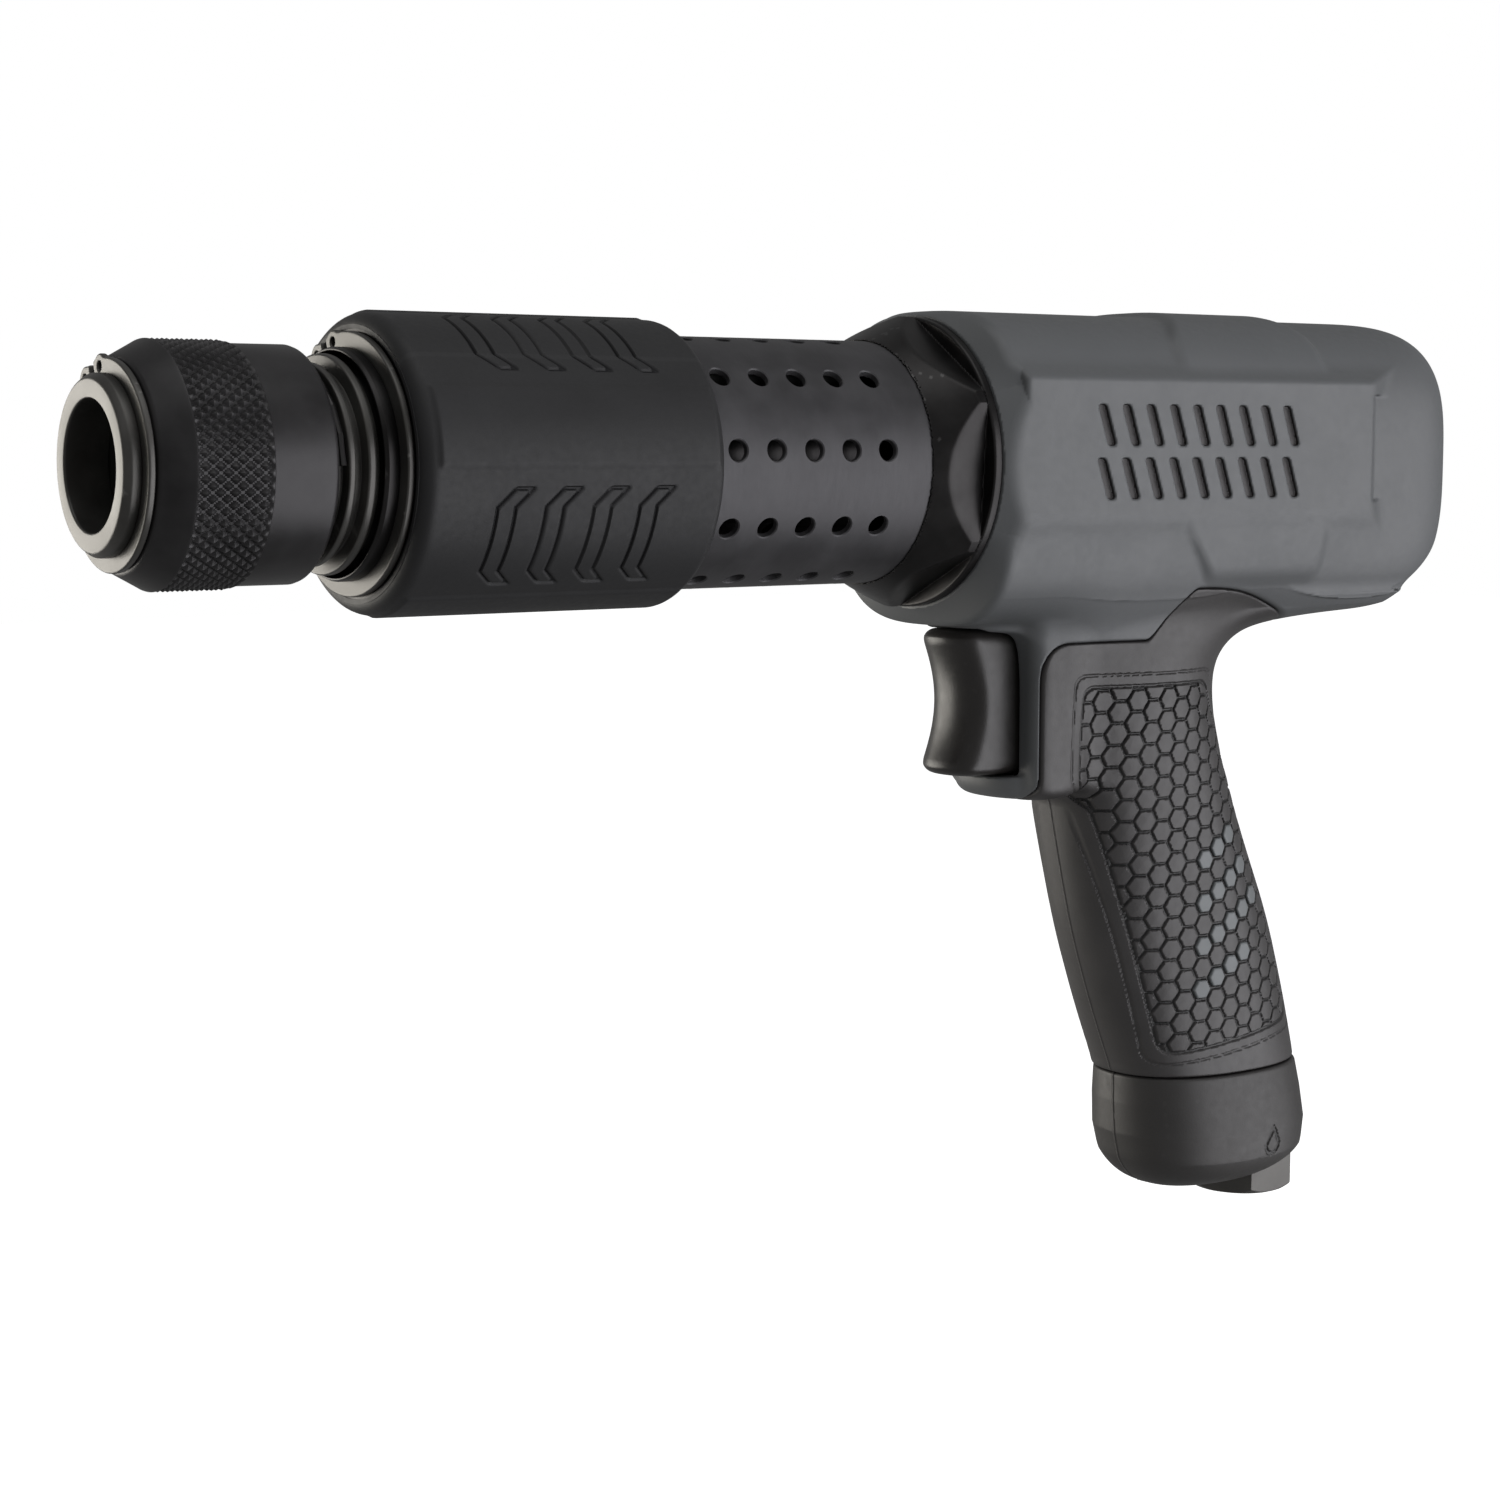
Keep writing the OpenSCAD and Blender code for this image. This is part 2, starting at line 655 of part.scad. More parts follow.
module grip_overmold() {
    color(rubber_black) difference() {
        intersection() {
            union() {
                grip_bar(grip_half_depth, grip_half_w, grip_power, -70, 70);
                plan_plate([for (p = superellipse(18, 12.5, 2.4)) [p[0] - 244, p[1]]], -45, -30);
            }
            grip_side_mask();
        }
        core(fit);
        translate([-212.1, -block_half_w - 0.1, -69.8]) cube([20, 2 * block_half_w + 0.2, 60]);
        translate([0, 0, -0.1]) neck();
        translate([-300, -40, -33.1]) cube([200, 80, 40]);
    }
}

// Cells of a hexagonal grid on both flanks, filled in the housing's colour
module grip_inlays() {
    cell = 6;
    rise = 0.45;
    cells = [[0, 0], [0, 1], [0, 2], [1, 1], [1, 2], [1, 3], [2, 2], [2, 3], [2, 4]];
    color(housing_grey) intersection() {
        difference() {
            grip_bar(grip_half_depth + rise, grip_half_w + rise, grip_power, -45, 20);
            grip_bar(grip_half_depth, grip_half_w, grip_power, -50, 30);
        }
        for (side = [-1, 1]) on_grip() for (c = cells)
            translate([6 - cell * 0.866 * c[0], side * 10, 2 - cell * (c[1] - c[0] / 2)])
                rotate([-90 * side, 0, 0]) cylinder(h = 14, r = cell * 0.5, $fn = 6);
    }
}

module base_cap() {
    color(rubber_black) difference() {
        hull() {
            plan_plate([for (p = superellipse(24.3, 17.5, grip_power, 48)) [p[0] - 255.3, p[1]]], seam_z - 2, seam_z);
            plan_plate([for (p = superellipse(25.4, 19, grip_power, 48)) [p[0] - 257, p[1]]], -151, -143);
            plan_plate([for (p = superellipse(18, 13, grip_power, 48)) [p[0] - 255.5, p[1]]], base_z, base_z + 2);
        }
        core(fit);
        translate([inlet_x, 0, base_z - 2]) cylinder(h = core_foot_z - base_z + 2.1, r = 12.4, $fn = fine);
    }
}

module inlet_bushing() {
    thread_end_z = inlet_foot_z + 15.9;
    screen_seat_z = inlet_top_z - 1.6;
    color(steel_black) translate([inlet_x, 0, 0]) difference() {
        union() {
            intersection() {
                translate([0, 0, inlet_foot_z])
                    cylinder(h = inlet_hex_top_z - inlet_foot_z, r = inlet_flats / 2 / cos(30), $fn = 6);
                translate([0, 0, inlet_foot_z]) rotate_extrude($fn = fine)
                    polygon([[0, 0], [10, 0], [12, 1.2], [12, 13], [0, 13]]);
            }
            translate([0, 0, inlet_hex_top_z - 1])
                cylinder(h = inlet_top_z - inlet_hex_top_z + 1, r = inlet_body_r, $fn = fine);
        }
        translate([0, 0, inlet_foot_z - 1]) cylinder(h = 16.9, r = inlet_thread_r, $fn = fine);
        translate([0, 0, thread_end_z - 1]) cylinder(h = 20, r = 4.4, $fn = fine);
        translate([0, 0, screen_seat_z]) cylinder(h = 5, r = 6.6, $fn = fine);
    }
}

module inlet_screen() {
    color(steel_bright) translate([inlet_x, 0, inlet_top_z - 1.5]) difference() {
        cylinder(h = 1.4, r = 6.5, $fn = 64);
        for (ix = [-2:2]) for (iy = [-2:2]) if (abs(ix) + abs(iy) < 4)
            translate([2.1 * ix, 2.1 * iy, -1]) cylinder(h = 4, r = 0.7, $fn = 24);
    }
}

module inlet_o_ring() {
    color(rubber_black) translate([inlet_x, 0, (inlet_hex_top_z + core_foot_z) / 2]) rotate_extrude($fn = fine)
        translate([9.6, 0]) circle(r = 0.5, $fn = 32);
}

retainer_body();
release_collar();
collar_snap_ring();
collar_spring();
lock_ball_1();
lock_ball_2();
lock_ball_3();
lock_ball_4();
barrel_cylinder();  // cylinder
front_bushing();
sleeve_snap_ring();
sleeve_washer();
barrel_sleeve();
barrel_shroud();
barrel_nut();
cylinder_o_ring();
piston();
valve_block();
valve_disc();
valve_cap();
valve_pin();
rear_buffer();
housing();
trigger();
trigger_pin();
throttle_bushing();
throttle_bushing_o_ring();
throttle_valve();
throttle_seal();
throttle_spring();
grip_overmold();
grip_inlays();
base_cap();
inlet_bushing();
inlet_screen();
inlet_o_ring();
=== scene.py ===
"""A pneumatic air hammer: its looks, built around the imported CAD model.

Lengths are in millimetres in the CAD frame (+X out of the nose, +Y to the tool's left, +Z up)
and become metres in piece(). Angles round the barrel go from +Y towards +Z.
"""

import math
from concurrent.futures import ThreadPoolExecutor

import bmesh
import bpy
import numpy as np
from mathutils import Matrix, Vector


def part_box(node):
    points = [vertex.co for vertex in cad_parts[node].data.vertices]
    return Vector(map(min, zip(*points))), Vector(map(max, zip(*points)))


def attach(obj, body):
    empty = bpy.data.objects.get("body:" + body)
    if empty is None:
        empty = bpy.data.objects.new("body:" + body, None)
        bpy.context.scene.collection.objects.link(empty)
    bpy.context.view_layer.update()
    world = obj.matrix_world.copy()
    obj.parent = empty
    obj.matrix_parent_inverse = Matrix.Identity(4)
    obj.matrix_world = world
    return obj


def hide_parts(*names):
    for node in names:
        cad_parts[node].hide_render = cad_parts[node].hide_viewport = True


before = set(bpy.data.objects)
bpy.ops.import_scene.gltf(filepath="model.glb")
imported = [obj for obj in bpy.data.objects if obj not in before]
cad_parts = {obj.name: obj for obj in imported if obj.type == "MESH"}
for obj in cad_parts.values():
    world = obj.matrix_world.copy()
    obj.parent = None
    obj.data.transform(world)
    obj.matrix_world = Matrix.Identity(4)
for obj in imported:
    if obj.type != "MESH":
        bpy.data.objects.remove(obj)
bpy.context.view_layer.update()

MM = 0.001
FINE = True


# --- Sizes, from the frame -------------------------------------------


def span(node):
    """A CAD node's lowest and highest corners in millimetres."""
    lo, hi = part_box(node)
    return [v / MM for v in lo], [v / MM for v in hi]


retainer_lo = span("retainer_body")[0]
collar_lo, collar_hi = span("release_collar")
sleeve_lo, sleeve_hi = span("barrel_sleeve")
shroud_lo, shroud_hi = span("barrel_shroud")
nut_lo, nut_hi = span("barrel_nut")
housing_lo = span("housing")[0]
trigger_lo, trigger_hi = span("trigger")
throttle_lo, throttle_hi = span("throttle_bushing")
throttle_spring_lo = span("throttle_spring")[0]
cap_lo, cap_hi = span("base_cap")
inlet_lo, inlet_hi = span("inlet_bushing")

collar_r = collar_hi[1]
sleeve_r = sleeve_hi[1]
shroud_r = 23.9
nut_r = nut_hi[1]
case_front_x = nut_lo[0] + 10.5
case_rear_x = housing_lo[0] - 1.4
case_top = 30.1
case_bottom = 33.0
seam_z = cap_hi[2]
cap_foot_z = cap_lo[2]
inlet_x = (inlet_lo[0] + inlet_hi[0]) / 2


# --- Fields: negative inside, about the distance in millimetres outside ---


def smooth_max(a, b, r):
    h = np.maximum(r - np.abs(a - b), 0) / r
    return np.maximum(a, b) + h * h * r / 4


def smooth_min(a, b, r):
    return -smooth_max(-a, -b, r)


def ramp(value, start, end):
    """0 before start, 1 after end, smooth between."""
    t = np.clip((value - start) / (end - start), 0, 1)
    return t * t * (3 - 2 * t)


def superellipse(u, v, half_u, half_v, power):
    """Gauge (1 on the outline) and its slope."""
    a, b = np.abs(u) / half_u, np.abs(v) / half_v
    gauge = np.maximum((a**power + b**power) ** (1 / power), 0.2)
    slope = np.hypot(a ** (power - 1) / half_u, b ** (power - 1) / half_v) * gauge ** (1 - power)
    return gauge, np.maximum(slope, 0.01)


def from_outline(u, v, half_u, half_v, power):
    gauge, slope = superellipse(u, v, half_u, half_v, power)
    return (gauge - 1) / slope


def block(x, y, z, lo, hi, r):
    """A box with softened edges."""
    sides = [smooth_max(lo[i] - value, value - hi[i], r) for i, value in enumerate((x, y, z))]
    return smooth_max(smooth_max(sides[0], sides[1], r), sides[2], r)


def bar_x(x, y, z, centre_z, radius, x0, x1):
    """A round bar along X."""
    return np.maximum(np.hypot(y, z - centre_z) - radius, np.maximum(x0 - x, x - x1))


# --- Meshes from fields ----------------------------------------------


def sample(field, axes):
    """The field on a grid, worked out in slices on several threads."""
    slices = np.array_split(axes[0], max(1, len(axes[0]) // 12))

    def one(part):
        x, y, z = np.meshgrid(part, axes[1], axes[2], indexing="ij", sparse=True)
        shape = (len(part), len(axes[1]), len(axes[2]))
        return np.broadcast_to(field(x, y, z), shape).astype(np.float32)

    with ThreadPoolExecutor(4) as pool:
        return np.concatenate(list(pool.map(one, slices)))


CORNERS = [(i, j, k) for i in (0, 1) for j in (0, 1) for k in (0, 1)]
EDGES = [(a, b) for a in range(8) for b in range(a + 1, 8) if bin(a ^ b).count("1") == 1]


def surface_net(value, axes, step):
    """Vertices and quads of the surface where a sampled field changes sign."""
    inside = value < 0
    cells = tuple(n - 1 for n in value.shape)

    def corner(array, c):
        return array[c[0] : c[0] + cells[0], c[1] : c[1] + cells[1], c[2] : c[2] + cells[2]]

    count = sum(corner(inside, c).astype(np.int8) for c in CORNERS)
    used = np.nonzero((count > 0) & (count < 8))
    number = np.full(cells, -1, np.int32)
    number[used] = np.arange(len(used[0]))
    at = [value[used[0] + c[0], used[1] + c[1], used[2] + c[2]] for c in CORNERS]
    total = np.zeros((len(used[0]), 3))
    hits = np.zeros(len(used[0]))
    for a, b in EDGES:
        crossed = (at[a] < 0) != (at[b] < 0)
        t = np.where(crossed, at[a] / np.where(crossed, at[a] - at[b], 1), 0)[:, None]
        point = np.array(CORNERS[a]) * (1 - t) + np.array(CORNERS[b]) * t
        total += np.where(crossed[:, None], point, 0)
        hits += crossed
    origin = np.array([axis[0] for axis in axes])
    vertices = origin + (np.stack(used, 1) + total / hits[:, None]) * step
    quads = []
    for axis in range(3):
        first, second = [n for n in range(3) if n != axis]
        low = np.moveaxis(inside, (axis, first, second), (0, 1, 2))
        crossed = low[:-1, 1:-1, 1:-1] != low[1:, 1:-1, 1:-1]
        i, j, k = np.nonzero(crossed)
        starts_inside = low[i, j + 1, k + 1]
        around = np.moveaxis(number, (axis, first, second), (0, 1, 2))
        ring = [around[i, j + dj, k + dk] for dj, dk in ((0, 0), (1, 0), (1, 1), (0, 1))]
        quad = np.stack(ring, 1)
        flip = starts_inside if axis == 1 else ~starts_inside
        quad[flip] = quad[flip][:, ::-1]
        quads.append(quad)
    return vertices, np.concatenate(quads)


def slope_of(field, points, reach):
    """The field's gradient at each point."""
    columns = []
    for axis in range(3):
        step = np.zeros(3)
        step[axis] = reach
        columns.append(field(*(points + step).T) - field(*(points - step).T))
    return np.stack(columns, 1) / (2 * reach)


def relaxed(vertices, quads):
    """Each vertex's neighbours' mean."""
    pairs = np.concatenate([quads[:, [i, (i + 1) % 4]] for i in range(4)])
    pairs = np.concatenate([pairs, pairs[:, ::-1]])
    counts = np.bincount(pairs[:, 0], minlength=len(vertices))
    mean = [
        np.bincount(pairs[:, 0], weights=vertices[pairs[:, 1], axis], minlength=len(vertices))
        for axis in range(3)
    ]
    return np.stack(mean, 1) / np.maximum(counts, 1)[:, None]


def net(field, lo, hi, step, mirrored=True):
    """A mesh of the field's zero surface: vertices, quads and exact normals."""
    step = step if FINE else step * 2
    axes = [np.arange(lo[i] - 2 * step, hi[i] + 3 * step, step) for i in range(3)]
    if mirrored:
        axes[1] = np.arange(0, hi[1] + 3 * step, step)
    value = sample(field, axes)
    if mirrored:
        value = np.concatenate([value[:, :0:-1], value], axis=1)
        axes[1] = np.concatenate([-axes[1][:0:-1], axes[1]])
    value[value == 0] = 1e-6
    vertices, quads = surface_net(value, axes, step)
    for turn in range(3):
        slope = slope_of(field, vertices, 0.03)
        size = np.maximum(np.linalg.norm(slope, axis=1), 0.2)[:, None]
        normal = slope / size
        if turn:
            shift = relaxed(vertices, quads) - vertices
            shift -= normal * np.sum(shift * normal, 1)[:, None]
            vertices = vertices + 0.5 * shift
        distance = field(*vertices.T)[:, None] / size
        vertices = vertices - normal * np.clip(distance, -0.7 * step, 0.7 * step)
    slope = slope_of(field, vertices, 0.05)
    normals = slope / np.maximum(np.linalg.norm(slope, axis=1), 1e-6)[:, None]
    return vertices, quads, normals


# --- Pieces ----------------------------------------------------------


def piece(name, vertices, faces, body, nodes, look, normals=None, sunk=None):
    """A mesh in the object's frame that stands for CAD nodes."""
    mesh = bpy.data.meshes.new(name)
    vertices = np.asarray(vertices, dtype=float) * MM
    if isinstance(faces, np.ndarray):
        mesh.vertices.add(len(vertices))
        mesh.vertices.foreach_set("co", vertices.ravel())
        mesh.loops.add(faces.size)
        mesh.loops.foreach_set("vertex_index", faces.ravel().astype(np.int32))
        mesh.polygons.add(len(faces))
        mesh.polygons.foreach_set("loop_start", np.arange(0, faces.size, faces.shape[1]))
        mesh.update(calc_edges=True)
    else:
        mesh.from_pydata(vertices.tolist(), [], faces)
    mesh.validate()
    mesh.shade_smooth()
    if normals is not None:
        mesh.normals_split_custom_set_from_vertices(np.asarray(normals).tolist())
    if sunk is not None:
        mesh.attributes.new("sunk", "FLOAT", "POINT").data.foreach_set("value", sunk.astype(np.float32))
    obj = bpy.data.objects.new(name, mesh)
    bpy.context.collection.objects.link(obj)
    obj.data.materials.append(look)
    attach(obj, body)
    if nodes:
        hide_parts(*nodes)
    return obj


def rounded(corners, r):
    """A closed outline with its corners rounded. A corner may carry its own radius."""
    out = []
    count = len(corners)
    for i, corner in enumerate(corners):
        here = np.array(corner[:2], float)
        before = np.array(corners[i - 1][:2], float) - here
        after = np.array(corners[(i + 1) % count][:2], float) - here
        len_a, len_b = np.linalg.norm(before), np.linalg.norm(after)
        a, b = before / len_a, after / len_b
        half = math.acos(float(np.clip(a @ b, -1, 1))) / 2
        radius = corner[2] if len(corner) > 2 else r
        cut = min(radius / math.tan(half), 0.42 * len_a, 0.42 * len_b) if half < 1.5 else 0
        if cut < 0.01:
            out.append(here)
            continue
        start, end = here + a * cut, here + b * cut
        steps = 4 if FINE else 2
        for k in range(steps + 1):
            t = k / steps
            out.append((1 - t) ** 2 * start + 2 * t * (1 - t) * here + t * t * end)
    return out


def swept(outline, turns, radius_at=None):
    """A closed outline of [x, r] turned round the barrel axis: vertices and quads."""
    rows = np.array(outline, float)
    angle = np.arange(turns) * 2 * math.pi / turns
    x = np.repeat(rows[:, 0], turns)
    r = np.repeat(rows[:, 1], turns)
    theta = np.tile(angle, len(rows))
    if radius_at is not None:
        r = radius_at(x, r, theta)
    vertices = np.stack([x, r * np.cos(theta), r * np.sin(theta)], 1)
    i = np.arange(len(rows))[:, None]
    j = np.arange(turns)[None, :]
    here, after = i * turns, (i + 1) % len(rows) * turns
    right = (j + 1) % turns
    quads = np.stack([here + j, here + right, after + right, after + j], -1).reshape(-1, 4)
    return vertices, quads


def outward(vertices, quads):
    """The quads, turned so that a closed mesh faces outwards."""
    a, b, c = (vertices[quads[:, i]] for i in range(3))
    d = vertices[quads[:, 3]]
    volume = np.sum(a * np.cross(b, c)) + np.sum(a * np.cross(c, d))
    return quads if volume > 0 else quads[:, ::-1]


def turned_piece(name, corners, r, body, nodes, look):
    """An outline of (x, radius) corners, rounded and turned round the barrel axis."""
    vertices, quads = swept(rounded(corners, r), 192 if FINE else 96)
    obj = piece(name, vertices, outward(vertices, quads), body, nodes, look)
    obj.data.set_sharp_from_angle(angle=math.radians(40))
    return obj


def cut_holes(obj, cutters):
    """Cuts round bars (start, end, radius) out of a piece."""
    mesh = bpy.data.meshes.new(obj.name + "_cutter")
    bm = bmesh.new()
    for start, end, r in cutters:
        start, end = Vector(start) * MM, Vector(end) * MM
        made = bmesh.ops.create_cone(
            bm, cap_ends=True, segments=40, radius1=r * MM, radius2=r * MM, depth=(end - start).length
        )
        turn = (end - start).to_track_quat("Z", "Y").to_matrix().to_4x4()
        bmesh.ops.transform(bm, matrix=turn, verts=made["verts"])
        bmesh.ops.translate(bm, vec=(start + end) / 2, verts=made["verts"])
    bm.to_mesh(mesh)
    bm.free()
    cutter = bpy.data.objects.new(mesh.name, mesh)
    bpy.context.collection.objects.link(cutter)
    change = obj.modifiers.new("cut", "BOOLEAN")
    change.object = cutter
    change.solver = "EXACT"
    depsgraph = bpy.context.evaluated_depsgraph_get()
    cut = bpy.data.meshes.new_from_object(obj.evaluated_get(depsgraph))
    obj.modifiers.clear()
    obj.data = cut
    bpy.data.objects.remove(cutter)
    cut.set_sharp_from_angle(angle=math.radians(40))


# --- Materials -------------------------------------------------------


class Nodes:
    """A material's node tree, with short calls for the nodes used here."""

    def __init__(self, name):
        self.material = bpy.data.materials.new(name)
        self.material.use_nodes = True
        self.tree = self.material.node_tree
        self.shader = self.tree.nodes["Principled BSDF"]
        coordinates = self.tree.nodes.new("ShaderNodeTexCoord")
        self.object = coordinates.outputs["Object"]

    def link(self, source, target):
        self.tree.links.new(source, target)

    def node(self, kind, **values):
        made = self.tree.nodes.new(kind)
        for key, value in values.items():
            if hasattr(made, key):
                setattr(made, key, value)
            else:
                made.inputs[key.replace("_", " ")].default_value = value
        return made

    def noise(self, size, detail=2.0, stretch=(1, 1, 1)):
        """Noise whose features are about size millimetres across."""
        mapping = self.node("ShaderNodeMapping")
        mapping.inputs["Scale"].default_value = [s / (size * MM) for s in stretch]
        self.link(self.object, mapping.inputs["Vector"])
        noise = self.node("ShaderNodeTexNoise", Scale=1.0, Detail=detail)
        self.link(mapping.outputs[0], noise.inputs["Vector"])
        return noise.outputs[0]

    def between(self, value, low, high, to_low, to_high):
        """The value mapped from low..high to to_low..to_high, and held there."""
        made = self.node("ShaderNodeMapRange")
        for key, number in (("From Min", low), ("From Max", high), ("To Min", to_low), ("To Max", to_high)):
            made.inputs[key].default_value = number
        self.link(value, made.inputs["Value"])
        return made.outputs[0]

    def mix(self, amount, a, b):
        """A colour between a and b, each a colour or a socket."""
        made = self.node("ShaderNodeMix", data_type="RGBA")
        self.link(amount, made.inputs[0])
        for socket, value in ((made.inputs[6], a), (made.inputs[7], b)):
            if isinstance(value, (tuple, list)):
                socket.default_value = (*value, 1)
            else:
                self.link(value, socket)
        return made.outputs[2]

    def add(self, a, b, weight=1.0):
        """a + weight * b."""
        made = self.node("ShaderNodeMath", operation="MULTIPLY_ADD")
        self.link(b, made.inputs[0])
        made.inputs[1].default_value = weight
        self.link(a, made.inputs[2])
        return made.outputs[0]

    def attribute(self, name):
        return self.node("ShaderNodeAttribute", attribute_name=name).outputs["Fac"]

    def pointiness(self):
        return self.node("ShaderNodeNewGeometry").outputs["Pointiness"]

    def bump(self, height, depth):
        """Bump with a depth in millimetres."""
        made = self.node("ShaderNodeBump", Strength=1.0, Distance=depth * MM)
        self.link(height, made.inputs["Height"])
        self.link(made.outputs[0], self.shader.inputs["Normal"])

    def set(self, **values):
        for key, value in values.items():
            self.shader.inputs[key.replace("_", " ")].default_value = value


def steel(name, color, rough, grain=(1, 1, 1), metallic=1.0):
    """Machined steel: fine turning or grinding lines, uneven polish, edges rubbed a little bright."""
    line_width, line_depth, spread = 0.25, 0.004, 0.06
    n = Nodes(name)
    lines = n.noise(line_width, 3.0, grain)
    blotch = n.noise(9.0, 3.0)
    lighter = tuple(min(1.0, c * 1.35 + 0.01) for c in color)
    tone = n.mix(n.between(blotch, 0.35, 0.7, 0, 1), color, lighter)
    rubbed = tuple(min(1.0, c * 2.2 + 0.06) for c in color)
    tone = n.mix(n.between(n.pointiness(), 0.53, 0.62, 0, 0.55), tone, rubbed)
    n.link(tone, n.shader.inputs["Base Color"])
    uneven = n.add(blotch, lines, 0.5)
    n.link(n.between(uneven, 0.5, 1.0, rough - spread, rough + spread), n.shader.inputs["Roughness"])
    n.bump(lines, line_depth)
    n.set(Metallic=metallic)
    return n.material


def moulded(name, color, rough, grain_size=0.35, grain_depth=0.012, sunk=None, specular=0.5, flow=0.12):
    """Moulded polymer or rubber: fine grain, faint flow marks, darker in what is sunk, rubbed edges.

    sunk is the depth where the darkening starts, the depth where it is full, and its colour. On the sleeve,
    grip and cap this is painted shade in grooves; on the housing it is the dark paint that fills the engraved
    marks.
    """
    n = Nodes(name)
    grain = n.noise(grain_size, 2.0)
    coarse = n.noise(grain_size * 4, 2.0)
    blotch = n.noise(14.0, 3.0)
    darker = tuple(c * (1 - flow) for c in color)
    lighter = tuple(c * (1 + flow) for c in color)
    tone = n.mix(n.between(blotch, 0.3, 0.7, 0, 1), darker, lighter)
    rubbed = tuple(min(1.0, c * 1.25 + 0.01) for c in color)
    tone = n.mix(n.between(n.pointiness(), 0.53, 0.62, 0, 0.3), tone, rubbed)
    # Darker with depth: painted shade in grooves, and on the housing the dark paint fill of its engraved
    # marks.
    if sunk is not None:
        low, high, shade_and_fill_colour = sunk
        tone = n.mix(n.between(n.attribute("sunk"), low, high, 0, 1), tone, shade_and_fill_colour)
    n.link(tone, n.shader.inputs["Base Color"])
    uneven = n.between(n.add(blotch, coarse), 0.7, 1.3, rough - 0.05, rough + 0.05)
    n.link(uneven, n.shader.inputs["Roughness"])
    n.bump(n.add(grain, coarse, 0.7), grain_depth)
    n.set(Specular_IOR_Level=specular)
    return n.material


ROUND_GRAIN = (1, 0.08, 0.08)
black_steel = steel("black_steel_look", (0.019, 0.018, 0.018), 0.37, ROUND_GRAIN, metallic=0.85)
black_tube = steel("black_tube_look", (0.045, 0.044, 0.047), 0.52, ROUND_GRAIN, metallic=0.5)
nose_steel = steel("nose_steel_look", (0.062, 0.06, 0.056), 0.4, metallic=0.6)
knurl_steel = steel("knurl_steel_look", (0.021, 0.02, 0.021), 0.42, metallic=0.5)
bright_steel = steel("bright_steel_look", (0.52, 0.52, 0.54), 0.24, ROUND_GRAIN)
spring_steel = steel("spring_steel_look", (0.3, 0.3, 0.31), 0.3)
brass = steel("valve_brass_look", (0.6, 0.42, 0.18), 0.28, ROUND_GRAIN)
# Its sunk colour is painted shade in the chevron grooves.
sleeve_polymer = moulded(
    "sleeve_polymer_look", (0.021, 0.021, 0.022), 0.56, 0.3, 0.008,
    (0.12, 0.3, (0.004, 0.004, 0.005)), specular=0.32)
housing_grey = moulded(
    "housing_grey_look", (0.108, 0.113, 0.117), 0.5, 0.4, 0.008,
    (0.25, 0.5, (0.02, 0.017, 0.017)), flow=0.02)
trigger_polymer = moulded("trigger_polymer_look", (0.02, 0.018, 0.017), 0.36, 0.45, 0.02)
# Its sunk colour is painted shade in the honeycomb grooves and the border lines.
grip_rubber = moulded(
    "grip_rubber_look", (0.047, 0.0445, 0.0445), 0.47, 0.4, 0.016, (0.25, 0.5, (0.01, 0.01, 0.01)))
# Its sunk colour is painted shade in the oil-drop groove.
cap_rubber = moulded(
    "cap_rubber_look", (0.034, 0.032, 0.031), 0.5, 0.4, 0.014, (0.2, 0.45, (0.01, 0.01, 0.01)))
inlay_grey = moulded("inlay_grey_look", (0.16, 0.171, 0.176), 0.5, 0.4, 0.01, flow=0.04)
seal_rubber = moulded("seal_rubber_look", (0.015, 0.015, 0.015), 0.45)


# --- Retainer and barrel ---------------------------------------------

ROOT = "tool_body"
BALL_X = -15.3
BALL_HOLE_R = (span("lock_ball_1")[1][0] - span("lock_ball_1")[0][0]) / 2 + 0.06


def make_retainer():
    """The nose body: chamber, groove for its ring, two flanges and four ball holes."""
    bore_r, nose_r, rear_x = 11.2, 15.4, retainer_lo[0]
    flange_x = -39.0
    stop_x = -41.9
    corners = [
        (0, bore_r, 0.5), (-8, bore_r), (-8.3, bore_r + 0.3), (-31.2, bore_r + 0.3), (-31.2, 13.95),
        (rear_x, 13.95), (rear_x, 18.2), (stop_x - 1.6, 18.2), (stop_x - 1.6, 19.3, 0.5), (stop_x, 19.3, 0.5),
        (stop_x, 16.6), (flange_x - 1.4, 16.6), (flange_x - 1.4, 17.8, 0.45), (flange_x, 17.8, 0.45),
        (flange_x, nose_r), (-4.3, nose_r), (-4.3, nose_r - 0.8), (-2.9, nose_r - 0.8), (-2.9, nose_r, 0.2),
        (-1.2, nose_r, 0.8), (0, nose_r - 0.9, 0.8),
    ]
    obj = turned_piece("retainer_nose", corners, 0.12, ROOT, ["retainer_body"], nose_steel)
    holes = []
    for i in range(4):
        a = math.radians(45 + 90 * i)
        out = np.array([0, math.cos(a), math.sin(a)])
        centre = np.array([BALL_X, 0, 0])
        holes.append((centre + out * 9, centre + out * 18, BALL_HOLE_R))
    cut_holes(obj, holes)


